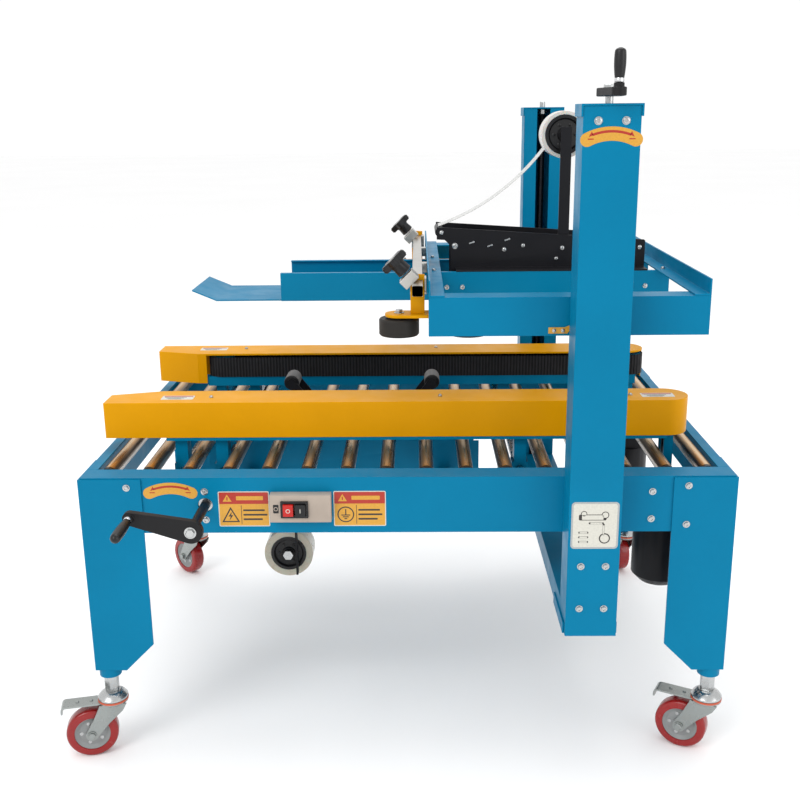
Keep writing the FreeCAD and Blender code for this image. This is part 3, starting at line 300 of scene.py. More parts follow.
def powder_coat(name, colour, roughness=0.34, specular=0.3):
    """Baked paint: slow colour drift, faint dust marks, and a fine orange-peel skin."""
    r = Recipe(name)
    drift = r.between(r.noise(5, 3), 0, 1)
    base = r.mixed(drift, shade(colour, 0.94), shade(colour, 1.05))
    dust = r.between(r.noise(120, 3), 0, 0.06)
    r.feed("Base Color", r.mixed(dust, base, shade(colour, 0.7)))
    r.feed("Roughness", r.between(r.noise(28, 5), roughness - 0.05, roughness + 0.08))
    r.set(Specular_IOR_Level=specular)
    r.bump(r.noise(900, 2), 0.05, 0.0001)
    return r.material


def metal(name, colour, roughness=0.28, stretch=(1, 1, 1)):
    """Bare or plated metal with fine lines where it was drawn or turned."""
    r = Recipe(name)
    r.feed("Base Color", r.mixed(r.between(r.noise(16, 4), 0, 1), shade(colour, 0.86), colour))
    r.feed("Roughness", r.between(r.noise(200, 3, stretch), roughness - 0.05, roughness + 0.08))
    r.set(Metallic=1.0)
    r.bump(r.noise(420, 2, stretch), 0.04, 0.0001)
    return r.material


def moulded(name, colour, roughness=0.4, grain=900.0, depth=0.0001, specular=0.35):
    """Moulded plastic or rubber: a fine grain and slightly uneven gloss."""
    r = Recipe(name)
    r.feed("Base Color", r.mixed(r.between(r.noise(22, 4), 0, 1), shade(colour, 0.9), shade(colour, 1.08)))
    r.feed("Roughness", r.between(r.noise(60, 4), roughness - 0.06, roughness + 0.1))
    r.set(Specular_IOR_Level=specular)
    r.bump(r.noise(grain, 2), 0.12, depth)
    return r.material


def bed_roller_painted_reflections():
    """Chromated tube with its light painted in: a painted highlight on the crest, painted amber reflection of
    the yellow covers on the shoulders, painted shade on the dark flanks, and drawn lines along it.
    """
    r = Recipe("bed_roller_painted_reflections")
    split = r.node("ShaderNodeSeparateXYZ")
    r.link(r.where, split.inputs[0])
    # colour by height across the tubes: light and shade painted in, not the steel's own colour
    height = r.node("ShaderNodeMapRange")
    low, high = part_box("rollers")
    height.inputs["From Min"].default_value = low.z
    height.inputs["From Max"].default_value = high.z
    r.link(split.outputs[2], height.inputs["Value"])
    reflection_ramp = r.node("ShaderNodeValToRGB")
    # painted shade low on the flanks, a painted bright band at mid height, dark again above it, then painted
    # amber reflection of the yellow covers rising to a pale gold painted highlight on the crest
    reflection_stops = [(0.0, (0.03, 0.025, 0.02)), (0.50, (0.42, 0.38, 0.34)), (0.66, (0.34, 0.29, 0.25)),
             (0.72, (0.035, 0.025, 0.02)), (0.86, (0.09, 0.05, 0.025)), (0.93, (0.34, 0.18, 0.06)),
             (0.975, (0.50, 0.29, 0.11)), (1.0, (0.66, 0.46, 0.26))]
    while len(reflection_ramp.color_ramp.elements) < len(reflection_stops):
        reflection_ramp.color_ramp.elements.new(0.5)
    for element, (position, colour) in zip(reflection_ramp.color_ramp.elements, reflection_stops):
        element.position, element.color = position, (*colour, 1)
    r.link(height.outputs[0], reflection_ramp.inputs[0])
    streaks = r.noise(160, 3, (1, 0.03, 1))
    r.feed("Base Color", r.mixed(r.between(streaks, 0, 0.14), reflection_ramp.outputs[0], (0.70, 0.55, 0.38)))
    r.feed("Roughness", r.between(streaks, 0.22, 0.36))
    r.set(Metallic=0.8, Specular_IOR_Level=0.4)
    r.bump(streaks, 0.05, 0.0001)
    return r.material


def ribbed_belt():
    """Black belt with upright ribs every few millimetres and a dusty face."""
    r = Recipe("ribbed_belt")
    ribs = r.node("ShaderNodeTexWave", wave_type="BANDS", bands_direction="X")
    ribs.inputs["Scale"].default_value = 48
    r.link(r.where, ribs.inputs["Vector"])
    crest = r.between(ribs.outputs["Fac"], 0, 1)
    r.feed("Base Color", r.mixed(crest, (0.004, 0.004, 0.005), (0.018, 0.018, 0.02)))
    r.feed("Roughness", r.between(r.noise(70, 5), 0.55, 0.8))
    r.set(Specular_IOR_Level=0.2)
    r.bump(ribs.outputs["Fac"], 0.8, 0.0015)
    return r.material


def wound_tape(name, colour, node):
    """Side of a tape roll: thin rings about its axis, in slightly different tones."""
    low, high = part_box(node)
    r = Recipe(name)
    middle = r.node("ShaderNodeMapping", vector_type="POINT")
    middle.inputs["Location"].default_value = (-(low.x + high.x) / 2, 0, -(low.z + high.z) / 2)
    middle.inputs["Scale"].default_value = (1, 0, 1)
    r.link(r.where, middle.inputs["Vector"])
    rings = r.node("ShaderNodeTexWave", wave_type="RINGS", rings_direction="SPHERICAL")
    rings.inputs["Scale"].default_value = 220
    rings.inputs["Distortion"].default_value = 0.6
    r.link(middle.outputs[0], rings.inputs["Vector"])
    r.feed("Base Color", r.mixed(rings.outputs["Fac"], shade(colour, 0.8), colour))
    r.feed("Roughness", r.between(r.noise(90, 3), 0.22, 0.4))
    r.set(Subsurface_Weight=0.25, Subsurface_Scale=0.01, Coat_Weight=0.3)
    r.bump(rings.outputs["Fac"], 0.15, 0.0002)
    return r.material


def clear_film():
    """Thin packing tape: glossy, milky and a little see-through."""
    r = Recipe("clear_film")
    r.feed("Base Color", r.mixed(r.between(r.noise(40, 3), 0, 1), (0.50, 0.50, 0.49), (0.62, 0.62, 0.60)))
    r.feed("Roughness", r.between(r.noise(120, 3, (1, 0.1, 1)), 0.12, 0.3))
    r.set(Transmission_Weight=0.25, Alpha=0.93)
    r.bump(r.noise(35, 3, (1, 0.2, 1)), 0.3, 0.0006)
    return r.material


def print_ink(name, colour):
    """Ink on a vinyl label: nearly flat, with a faint grain and a smooth sheen."""
    r = Recipe(name)
    r.feed("Base Color", r.mixed(r.between(r.noise(300, 2), 0, 1), shade(colour, 0.93), shade(colour, 1.04)))
    r.feed("Roughness", r.between(r.noise(40, 3), 0.28, 0.42))
    r.bump(r.noise(700, 2), 0.08, 0.0001)
    return r.material


BLUE = powder_coat("blue_powder_coat", (0.0, 0.160, 0.300), 0.34, 0.08)
YELLOW = powder_coat("yellow_powder_coat", (0.64, 0.285, 0.0), 0.36, 0.08)
BLACK_COAT = powder_coat("black_powder_coat", (0.008, 0.008, 0.010), 0.4, 0.18)
CAST_BLACK = powder_coat("cast_black", (0.009, 0.009, 0.010), 0.45, 0.2)
ZINC = metal("zinc_plate", (0.50, 0.51, 0.51), 0.24)
FORK_ZINC = metal("pressed_zinc", (0.34, 0.36, 0.35), 0.30)
CHROME = metal("bright_chrome", (0.74, 0.75, 0.76), 0.12)
DARK_STEEL = metal("oiled_steel", (0.035, 0.035, 0.04), 0.38)
ALUMINIUM = metal("milled_aluminium", (0.52, 0.51, 0.48), 0.34, (0.2, 1, 1))
# bed rollers with reflections and shade painted into their colour
ROLLER_PAINTED_REFLECTIONS = bed_roller_painted_reflections()
BELT = ribbed_belt()
BLACK_PLASTIC = moulded("black_plastic", (0.006, 0.006, 0.007), 0.33)
GREY_RUBBER = moulded("grey_rubber", (0.15, 0.14, 0.135), 0.62, 500, 0.0002)
PRESS_RUBBER = moulded("press_wheel_rubber", (0.014, 0.012, 0.010), 0.5, 600, 0.0002, 0.25)
RED_TYRE = moulded("red_polyurethane", (0.26, 0.006, 0.006), 0.2, 400, 0.0001, 0.5)
HUB_GREY = moulded("hub_nylon", (0.24, 0.25, 0.25), 0.35)
SEAL_RED = moulded("seal_ring_red", (0.52, 0.10, 0.05), 0.4)
PALE_PLASTIC = moulded("pale_switch_plastic", (0.36, 0.30, 0.25), 0.42, 700)
RED_PLASTIC = moulded("red_button_plastic", (0.42, 0.012, 0.008), 0.25)
UPPER_TAPE = wound_tape("upper_tape_side", (0.56, 0.55, 0.52), "upper_tape_roll")
LOWER_TAPE = wound_tape("lower_tape_side", (0.52, 0.48, 0.38), "lower_tape_roll")
FILM = clear_film()
INK_YELLOW = print_ink("ink_yellow", (0.56, 0.28, 0.025))
INK_RED = print_ink("ink_red", (0.36, 0.018, 0.006))
INK_BLACK = print_ink("ink_black", (0.02, 0.017, 0.015))
INK_GREY = print_ink("ink_grey", (0.34, 0.36, 0.36))
INK_WHITE = print_ink("ink_white", (0.55, 0.54, 0.48))

SHEET_WORK = (
    (BLUE, "blue_paint", 0.7, ("side_rails", "end_rails", "legs", "lower_trough", "tie_beam", "front_column",
                               "rear_column", "head_rails", "head_end_angles", "upper_trough",
                               "near_belt_carriage", "far_belt_carriage")),
    (YELLOW, "yellow_paint", 0.7, ("near_belt_cover", "far_belt_cover")),
    (BLACK_COAT, "black_paint", 0.5, ("upper_cartridge", "lower_cartridge", "upper_front_arm",
                                      "upper_rear_arm", "lower_front_arm", "lower_rear_arm",
                                      "near_belt_motor", "far_belt_motor")),
    (CAST_BLACK, "black_paint", 1.4, ("width_crank_arm", "lift_crank_arm")),
    (ALUMINIUM, "zinc_steel", 0.5, ("press_bar",)),
    (BLACK_PLASTIC, "black_plastic", 0.8, ("start_button",)),
    (RED_PLASTIC, "red_plastic", 0.8, ("stop_button",)))
PAINTED_NODES = ((ZINC, "slide_rods"), (DARK_STEEL, "width_screw"), (DARK_STEEL, "lift_chain"),
                 (BELT, "near_belt"), (BELT, "far_belt"), (FILM, "upper_tape"))


def paint_cad_nodes():
    """Dresses the sheet and moulded pieces, and colours the nodes that keep their own CAD mesh."""
    for material, slot, bevel, nodes in SHEET_WORK:
        for node in nodes:
            dressed(node, material, bevel)
    for material, node in PAINTED_NODES:
        mesh = frame["nodes"][node].data
        mesh.materials.clear()
        mesh.materials.append(material)


# ------------------------------------------------------------------------------ roller bed
def chamfered(radius, start, end, edge=1.0):
    """Profile of a solid cylinder with small chamfers."""
    return [(0.4, start), (radius - edge, start), (radius, start + edge), (radius, end - edge),
            (radius - edge, end), (0.4, end)]


ROLLER_COUNT = 16
ROLLER_PITCH = 68
ROLLER_CAP = 9                  # length of a black end cap
AXLE_RADIUS = 4
AXLE_REACH = 48                 # axle end past the cap, under the rail's flange
TROUGH_SPAN = (-330, 126)       # rollers between these are in two halves
HALF_ROLLER_START = 93          # a half roller's inner end, from the centre line
RAIL_SHEET = 3
RAIL_FLANGE = 45
ROLLER_END_GAP = 6              # rail flange's edge to a roller's end
HALF_AXLE = (90, RAIL_HIGH[1] - RAIL_SHEET)


def roller_bed():
    """Each roller is a tube between two black end caps, on a thin axle that reaches the rails."""
    low, high = limits("rollers")
    radius = (high[2] - low[2]) / 2
    z = (high[2] + low[2]) / 2
    end = HALF_AXLE[1] - RAIL_FLANGE - ROLLER_END_GAP
    surface = Surface()
    for index in range(ROLLER_COUNT):
        x = (index - (ROLLER_COUNT - 1) / 2) * ROLLER_PITCH
        spot, along = (x, 0, z), (0, 1, 0)
        halved = TROUGH_SPAN[0] < x < TROUGH_SPAN[1]
        spans = [(-end, -HALF_ROLLER_START), (HALF_ROLLER_START, end)] if halved else [(-end, end)]
        for start, stop in spans:
            surface.turned([(radius, start + ROLLER_CAP), (radius, stop - ROLLER_CAP)], spot, along, 28, 0)
            for a, b in ((start, start + ROLLER_CAP), (stop - ROLLER_CAP, stop)):
                surface.turned(chamfered(radius - 0.1, a, b), spot, along, 28, 1)
            reach = (start - AXLE_REACH, stop + AXLE_REACH)
            if halved:
                reach = (-HALF_AXLE[1], -HALF_AXLE[0]) if start < 0 else HALF_AXLE
            surface.turned([(AXLE_RADIUS, reach[0]), (AXLE_RADIUS, reach[1])], spot, along, 12, 2)
    piece("bed_rollers", surface, "frame", [ROLLER_PAINTED_REFLECTIONS, BLACK_PLASTIC, ZINC], ["rollers"])


# ------------------------------------------------------------------------------ castors
# corner: side along X, side along Y, and the trail's direction from +X towards +Y in degrees
CASTORS = {"front_left": (-1, -1, 193), "front_right": (1, -1, 152),
           "rear_left": (-1, 1, 138), "rear_right": (1, 1, 100)}
SOCKET_INSET = 20               # swivel axis from the leg's outer faces
CASTOR_TRAIL = 40
CASTOR_RADIUS = 45
CHEEK_Y = 16                    # inner face of a fork cheek
CHEEK_THICK = 3
PEDAL_TOP = 104
PEDAL_WIDTH = 30


def castor(corner, side_x, side_y, heading):
    """Swivel head over two cheeks, a soft tyre on a nylon hub, and a pedal on the front ones."""
    top = np.array([side_x * (LEG_HIGH[0] - SOCKET_INSET), side_y * (LEG_HIGH[1] - SOCKET_INSET), 0.0])
    a = math.radians(heading)
    ahead = np.array([math.cos(a), math.sin(a), 0])
    left = np.array([-math.sin(a), math.cos(a), 0])
    up = (0, 0, 1)
    fork = Surface()
    fork.turned([(9, 98), (22, 98), (26, 101), (26, 104), (24, 106), (9, 107)], top, up, 40, 0, ring=False)
    fork.turned([(23.6, 103.6), (26.6, 103.6), (26.6, 106.8), (23.6, 106.8)], top, up, 40, 1, ring=True)
    axle = top + CASTOR_TRAIL * ahead + np.array([0, 0, CASTOR_RADIUS])
    crown = arc((CASTOR_TRAIL, CASTOR_RADIUS), 11, 200, 380, 12)
    shoulder = [(CASTOR_TRAIL - 4, 74), (25, 97), (24, 101)]
    outline = np.concatenate([[(-23, 101), (-16, 88), (8, 66)], crown, shoulder])
    for side in (-1, 1):
        outer = CHEEK_Y + CHEEK_THICK
        start = top + left * (outer if side > 0 else -CHEEK_Y)
        fork.slab(outline, start, ahead, up, CHEEK_THICK, 0)
        bolt = axle + left * side * outer
        fork.turned(chamfered(8, 0, 2, 0.4), bolt, left * side, 24, 0)
        fork.turned(chamfered(6.5, 2, 5, 0.8), bolt, left * side, 6, 0)
    if side_y < 0:
        path = np.concatenate([[(20, PEDAL_TOP)], arc((82, PEDAL_TOP - 8), 8, 90, 0, 7), [(90, 90)]])
        inside = np.concatenate([[(20, PEDAL_TOP - 3)], arc((82, PEDAL_TOP - 8), 5, 90, 0, 7), [(87, 90)]])
        pedal = np.concatenate([path, inside[::-1]])
        fork.slab(pedal, top + left * PEDAL_WIDTH / 2, ahead, up, PEDAL_WIDTH, 0)
        for run in (38, 62):
            rivet = top + ahead * run + np.array([0, 0, PEDAL_TOP - 0.1])
            fork.turned([(3, 0), (3, 1.2), (2, 1.8)], rivet, up, 14, 0)
    piece(corner + "_fork_steel", fork, corner + "_castor", [FORK_ZINC, SEAL_RED],
          [corner + "_castor_fork"], 0.5)
    tyre = Surface()
    edge = arc((CASTOR_RADIUS - 6, 8), 6, 0, 90, 6)
    profile = np.concatenate([[(31, -14)], edge[::-1] * (1, -1), edge, [(31, 14)]])
    tyre.turned(profile, axle, left, 56, 0, ring=True)
    piece(corner + "_tyre", tyre, corner + "_wheel", [RED_TYRE], [corner + "_castor_wheel"])
    hub = Surface()
    hub.turned([(5.2, -13), (12, -13), (13, -10), (24, -8), (30.8, -12), (30.8, 12), (24, 8), (13, 10),
                (12, 13), (5.2, 13)], axle, left, 40, 0, ring=True)
    for step in range(5):
        turn = math.radians(72 * step)
        spot = axle + 19 * (math.cos(turn) * ahead + math.sin(turn) * np.array(up))
        for side in (-1, 1):
            hub.turned([(3.2, 7), (3.2, 9.6)], spot, left * side, 14, 1)
    piece(corner + "_wheel_hub", hub, corner + "_wheel", [HUB_GREY, ZINC])


def castor_stems(surface):
    """Cup, hexagon and stem over each castor: they stay still when it swivels."""
    for side_x, side_y in [placing[:2] for placing in CASTORS.values()]:
        spot = (side_x * (LEG_HIGH[0] - SOCKET_INSET), side_y * (LEG_HIGH[1] - SOCKET_INSET), 0)
        cup = [(8, 108), (26, 108), (26, 111), (22, 116), (16, 120), (13, 121), (8, 121)]
        surface.turned(cup, spot, (0, 0, 1), 40, 0)
        surface.turned([(11.5, 121), (12.5, 122.5), (12.5, 152), (11.5, 153.8)], spot, (0, 0, 1), 6, 0)
        surface.turned([(8, 99), (8, 166)], spot, (0, 0, 1), 20, 0)


# ------------------------------------------------------------------------------ fasteners
def cap_screw(surface, spot, axis, radius=5.0, mark=0):
    """Washer under a domed head with a hexagon socket."""
    surface.turned([(radius * 1.2, 0), (radius * 1.2, 0.8), (radius * 1.0, 1.0)], spot, axis, 20, mark)
    dome = [(radius * 0.94, 0.9), (radius * 0.94, 2.2), (radius * 0.86, 3.3), (radius * 0.58, 3.9),
            (radius * 0.5, 3.9), (radius * 0.42, 2.2)]
    surface.turned(dome, spot, axis, 18, mark)


def frame_fasteners():
    """Screws of the leg plates, rails, columns and end rails, with the castors' stems."""
    surface = Surface()
    for side in (-1, 1):
        for x, drop in ((-464, 16), (464, 16), (464, 84), (406, 27), (406, 75),
                        (WIDTH_SCREW_X, 24), (WIDTH_SCREW_X, 74)):
            on_leg = abs(x) > 437
            face = LEG_HIGH[1] if on_leg else RAIL_HIGH[1]
            cap_screw(surface, (x, side * face, TABLE_TOP - drop), (0, side, 0))
        for dx in (-20, 20):
            for z in (COLUMN_LOW[2] + 50, COLUMN_LOW[2] + 125, COLUMN_TOP - 24):
                cap_screw(surface, (COLUMN_X + dx, side * -COLUMN_FACE, z), (0, side, 0))
        for y in (-353, 353):
            for drop in (16, 80):
                cap_screw(surface, (side * LEG_HIGH[0], y, TABLE_TOP - drop), (side, 0, 0))
    castor_stems(surface)
    piece("screw_heads", surface, "frame", [ZINC], ["frame_fasteners"])


# ------------------------------------------------------------------------------ lift and width screws
def thread(surface, origin, axis, radius, start, stop, pitch, mark=0):
    """Screw surface: the radius falls and rises as a triangle wave of height / pitch - angle / turn."""
    axis = unit(axis)
    u, v = across(axis)
    per_turn, around = 4, 20
    rows = int((stop - start) / pitch * per_turn)
    h = np.linspace(start, stop, rows)[:, None]
    a = np.linspace(0, 2 * np.pi, around, endpoint=False)[None]
    wave = np.abs(((h / pitch - a / (2 * np.pi)) % 1) * 2 - 1)
    fade = np.clip(np.minimum(h - start, stop - h) / pitch, 0, 1)
    r = radius - 1.1 * wave * fade
    points = (np.asarray(origin, float) + (r * np.cos(a))[..., None] * u
              + (r * np.sin(a))[..., None] * v + (h + 0 * a)[..., None] * axis)
    caps = [np.arange(around)[::-1], np.arange(around) + (rows - 1) * around]
    surface.add(points, list(quads(rows, around, False, True)) + caps, mark)


SPROCKET_Z = 283


def lift_screws():
    """Threaded spindles in the columns with their sprockets and collars, and the cranks' nuts."""
    for node, side in (("front_lift_screw", -1), ("rear_lift_screw", 1)):
        low, high = limits(node)
        spot = (COLUMN_X, side * SCREW_Y, 0)
        surface = Surface()
        thread(surface, spot, (0, 0, 1), 8, low[2], COLUMN_TOP - 3, 4)
        surface.turned([(6, COLUMN_TOP - 3), (6, high[2] - 1), (5, high[2])], spot, (0, 0, 1), 24, 1)
        surface.turned(chamfered(12, COLUMN_TOP - 15, COLUMN_TOP - 4), spot, (0, 0, 1), 32, 1)
        teeth = 14
        a = np.linspace(0, 2 * np.pi, teeth * 8, endpoint=False)
        r = 11.2 + 0.8 * np.cos(a * teeth)
        outline = np.stack([r * np.cos(a), r * np.sin(a)], 1)
        surface.slab(outline, (COLUMN_X, side * SCREW_Y, SPROCKET_Z), (1, 0, 0), (0, 1, 0), 8, 0)
        piece(node.replace("screw", "spindle"), surface, node, [DARK_STEEL, ZINC], [node])
    nut = Surface()
    hub_base = limits("lift_crank_arm")[0][2]
    nut.turned(chamfered(9.5, hub_base + 12, hub_base + 17, 0.8), (COLUMN_X, -SCREW_Y, 0), (0, 0, 1), 6, 0)
    piece("lift_crank_nut", nut, "front_lift_screw", [ZINC])
    low, high = limits("width_screw")
    spot = (WIDTH_SCREW_X, low[1] + 5, (low[2] + high[2]) / 2)
    nut = Surface()
    nut.turned([(2, 0), (9.5, 0), (9.5, 1.4), (2, 1.4)], spot, (0, -1, 0), 28, 0)
    nut.turned(chamfered(7, 1.4, 6, 0.8), spot, (0, -1, 0), 6, 0)
    piece("width_crank_nut", nut, "width_screw", [ZINC])


def crank_grips():
    """Each grip swells from its ferrule and narrows a little again before a round end."""
    for node, body, axis in (("lift_crank_grip", "lift_grip", (0, 0, 1)),
                             ("width_crank_grip", "width_grip", (0, -1, 0))):
        low, high = limits(node)
        middle = (low + high) / 2
        along = np.abs(np.array(axis, float))
        length = float((high - low) @ along)
        start = middle - np.array(axis, float) * length / 2
        t = np.linspace(0, 1, 24)
        r = 6.4 + 2.1 * np.sin(np.pi * np.clip(t * 0.85 + 0.02, 0, 1)) ** 0.8
        r = r * np.sqrt(np.clip(1 - (np.clip(t - 0.88, 0, 1) / 0.125) ** 2, 0.02, 1))
        surface = Surface()
        body_part = np.stack([r, t * length * 0.88 + length * 0.12], 1)
        surface.turned(body_part, start, axis, 32, 0)
        surface.turned([(6, 0), (7.2, 0.6), (7.2, 3.2), (6.4, 6.2)], start, axis, 32, 1)
        piece(node.replace("grip", "handle"), surface, body, [BLACK_PLASTIC, CHROME], [node])


# ------------------------------------------------------------------------------ tape heads
def arm_rollers():
    """Grey rubber roller between two dark discs, with a bolt through its middle."""
    for node in ("upper_front_roller", "upper_rear_roller", "lower_front_roller", "lower_rear_roller"):
        low, high = limits(node)
        middle, radius = (low + high) / 2, (high[2] - low[2]) / 2
        surface = Surface()
        rubber = [(5.3, -22), (radius - 1, -22), (radius, -21), (radius, 21), (radius - 1, 22), (5.3, 22)]
        surface.turned(rubber, middle, (0, 1, 0), 40, 0, ring=True)
        for side in (-1, 1):
            surface.turned([(5.3, 22), (radius - 1.5, 22), (radius - 0.5, 22.6), (radius - 0.5, 24.4),
                            (radius - 2, 25), (5.3, 25)], middle, (0, side, 0), 40, 1, ring=True)
        piece(node.replace("roller", "wiper_roller"), surface, node, [GREY_RUBBER, BLACK_PLASTIC],
              [node])


def tape_rolls():
    """Two wound rolls, each on a black hub with six small bosses, and the lower roll's nut."""
    for node, material in (("upper_tape_roll", UPPER_TAPE), ("lower_tape_roll", LOWER_TAPE)):
        low, high = limits(node)
        middle, radius = (low + high) / 2, (high[2] - low[2]) / 2
        core = 36 if node.startswith("upper") else 36.5
        roll = Surface()
        roll.turned([(core, -24), (radius - 0.6, -24), (radius, -23.4), (radius, 23.4), (radius - 0.6, 24),
                     (core, 24)], middle, (0, 1, 0), 72, 0, ring=True)
        piece(node.replace("tape_roll", "wound_tape"), roll, node, [material], [node])
        hub = Surface()
        hub.turned([(8.2, -25), (12, -25), (14, -22), (core - 9, -20), (core - 6, -24.6), (core - 0.2, -25),
                    (core - 0.2, 25), (core - 6, 24.6), (core - 9, 20), (14, 22), (12, 25), (8.2, 25)],
                   middle, (0, 1, 0), 56, 0, ring=True)
        for step in range(6):
            turn = math.radians(60 * step)
            spoke = middle + np.array([20 * math.cos(turn), 0, 20 * math.sin(turn)])
            for side in (-1, 1):
                hub.turned([(3.2, 19), (3.2, 22.4), (2.4, 23)], spoke, (0, side, 0), 12, 0)
        piece(node.replace("tape_roll", "roll_hub"), hub, node, [BLACK_PLASTIC])
    low, high = limits("lower_tape_roll")
    nuts = Surface()
    nuts.turned([(3, -36), (10.5, -36), (10.5, -29), (3, -29)], (low + high) / 2, (0, 1, 0), 6, 0)
    piece("lower_roll_nut", nuts, "frame", [ZINC])


def cartridge_screws():
    """Zinc screws and small spring hooks on both side plates of the upper cartridge."""
    surface = Surface()
    spots = [(66, 887, 3.2), (91, 862, 4.6), (183, 855, 3.2), (218, 862, 2.8), (291, 857, 3.2),
             (280, 837, 2.8), (435, 857, 3.2), (405, 838, 2.6), (345, 845, 2.6)]
    for x, z, radius in spots:
        for side in (-1, 1):
            cap_screw(surface, (x, side * 50, z), (0, side, 0), radius)
    for x, z in ((122, 868), (156, 862), (188, 873)):
        for side in (-1, 1):
            surface.slab(rounded(10, 2.4, 1.1), (x, side * 50, z), (1, 0, 0.35), (-0.35, 0, 1),
                         -side * 1.6, 0)
            surface.turned([(1.7, 0), (1.7, 3.4)], (x + 4, side * 50, z + 1.5), (0, side, 0), 10, 0)
    for x in (75, 104, 414, 440):
        for side in (-1, 1):
            cap_screw(surface, (x, side * 90, 791), (0, side, 0), 3.6)
    for x in (51, 471):
        for y in (-90, 90):
            cap_screw(surface, (x, y, 822), (0, 0, 1), 3.6)
    piece("head_screws", surface, "head", [ZINC])


# ------------------------------------------------------------------------------ press brackets
PRESS_Y = 317                   # middle of the strap, from the centre line
PRESS_WHEEL_X = (-10, 103)
STRAP_TOP = 786
STRAP_THICK = 5
STRAP_HALF = 23
POST_X = (9, 11.8, 29.2, 32)    # outer and inner edges of the post's two sides
POST_TOP = 850
BAR_GAP = 0.4
CLAMP_Y = 303
CLAMP_HALF = 15                 # half the block's width along the bar


def press_brackets():
    """Yellow strap and post, milled clamp block on the square bar, and a five-lobed knob."""
    bar_low, bar_high = limits("press_bar")
    bar_half = (bar_high[2] - bar_low[2]) / 2
    bar_x, bar_z = bar_low[0] + bar_half, (bar_low[2] + bar_high[2]) / 2
    lean = unit((-1, 0, 1))
    for side, name in ((-1, "near"), (1, "far")):
        strap = Surface()
        y = side * PRESS_Y
        infeed_x, outfeed_x = PRESS_WHEEL_X
        ends = np.concatenate([arc((outfeed_x, 0), STRAP_HALF, -90, 90, 20),
                               arc((infeed_x, 0), STRAP_HALF, 90, 270, 20)])
        strap.slab(ends, (0, y, STRAP_TOP - STRAP_THICK), (1, 0, 0), (0, 1, 0), STRAP_THICK, 0)
        y0, y1 = sorted((y + side, y + side * (1 + STRAP_THICK)))
        under, over = bar_low[2] - BAR_GAP, bar_high[2] + BAR_GAP
        left, inner_left, inner_right, right = POST_X
        strap.block(left, right, y0, y1, STRAP_TOP, under, 0)
        strap.block(left, inner_left, y0, y1, under, POST_TOP, 0)
        strap.block(inner_right, right, y0, y1, under, POST_TOP, 0)
        strap.block(inner_left, inner_right, y0, y1, over, POST_TOP, 0)
        for x in PRESS_WHEEL_X:
            strap.turned([(8.5, 0), (8.5, 1.2), (7, 1.4)], (x, y, STRAP_TOP), (0, 0, 1), 28, 1)
            strap.turned(chamfered(6.6, 1.2, 6, 0.7), (x, y, STRAP_TOP), (0, 0, 1), 6, 1)
            strap.turned([(8.5, 778.2), (8.5, 781)], (x, y, 0), (0, 0, 1), 24, 1)
            strap.turned([(4.9, 753), (4.9, 779)], (x, y, 0), (0, 0, 1), 20, 1)
        piece(name + "_press_strap", strap, name + "_press", [YELLOW, ZINC],
              [name + "_press_bracket"], 0.6)
        clamp = Surface()
        middle = np.array([bar_x, side * CLAMP_Y, bar_z])
        cross = np.array([lean[2], 0, -lean[0]])
        outline = [(10.2, -14), (27, -14), (27, 14), (10.2, 14)]
        clamp.slab(outline, middle - np.array([0, CLAMP_HALF, 0]), lean, -cross, CLAMP_HALF * 2, 0)
        y0, y1 = side * CLAMP_Y - CLAMP_HALF, side * CLAMP_Y + CLAMP_HALF
        for x0, x1 in ((bar_x - 12, bar_x - 8.7), (bar_x + 8.7, 35.4)):
            clamp.block(x0, x1, y0, y1, bar_z - 11.5, bar_z + 11.5, 0)
        clamp.block(bar_x - 12, 35.4, y0, y1, bar_z - 15, bar_z - 8.7, 0)
        piece(name + "_clamp_block", clamp, name + "_press", [ALUMINIUM], bevel=0.8)
        knob = Surface()
        a = np.linspace(0, 2 * np.pi, 90, endpoint=False)
        r = 21.5 + 3.4 * np.cos(5 * a)
        u, v = across(lean)
        base = middle + lean * 47
        for scale, low, high in ((1.0, 2.0, 10.0), (0.93, 0.0, 12.0)):
            outline = np.stack([r * scale * np.cos(a), r * scale * np.sin(a)], 1)
            knob.slab(outline, base + lean * low, u, v, high - low, 0)
        knob.turned([(9, -20), (13, -18), (12, -4), (14, 1)], base, lean, 32, 0)
        knob.turned([(7.5, 11.9), (7.5, 12.2), (6, 12.4), (1, 12.4)], base, lean, 28, 1)
        piece(name + "_star_knob", knob, name + "_press", [BLACK_PLASTIC, ZINC], bevel=0.9)
        for place_name, x in zip(("infeed", "outfeed"), PRESS_WHEEL_X):
            node = "%s_%s_press_wheel" % (name, place_name)
            wheel = Surface()
            tread = [(5.3, 750.2), (12, 750.2), (13, 753), (26, 753), (28, 750), (31, 750), (33, 752.5),
                     (33, 775.5), (31, 778), (5.3, 778)]
            wheel.turned(tread, (x, y, 0), (0, 0, 1), 60, 0, ring=True)
            piece(node + "_tread", wheel, node, [PRESS_RUBBER], [node])
    plugs = Surface()
    for side in (-1, 1):
        plugs.slab(rounded(17, 17, 2.5), (bar_x, side * 376.6, bar_z), (1, 0, 0), (0, 0, 1), -side * 0.4, 0)
    piece("bar_end_plugs", plugs, "head", [BLACK_PLASTIC])


# ------------------------------------------------------------------------------ switch box
def ring_of_blocks(outer, inner):
    """Edges (x0, x1, z0, z1) of four blocks that fill a frame between two rectangles."""
    return ((outer[0], inner[0], outer[2], outer[3]), (inner[1], outer[1], outer[2], outer[3]),
            (inner[0], inner[1], outer[2], inner[2]), (inner[0], inner[1], inner[3], outer[3]))


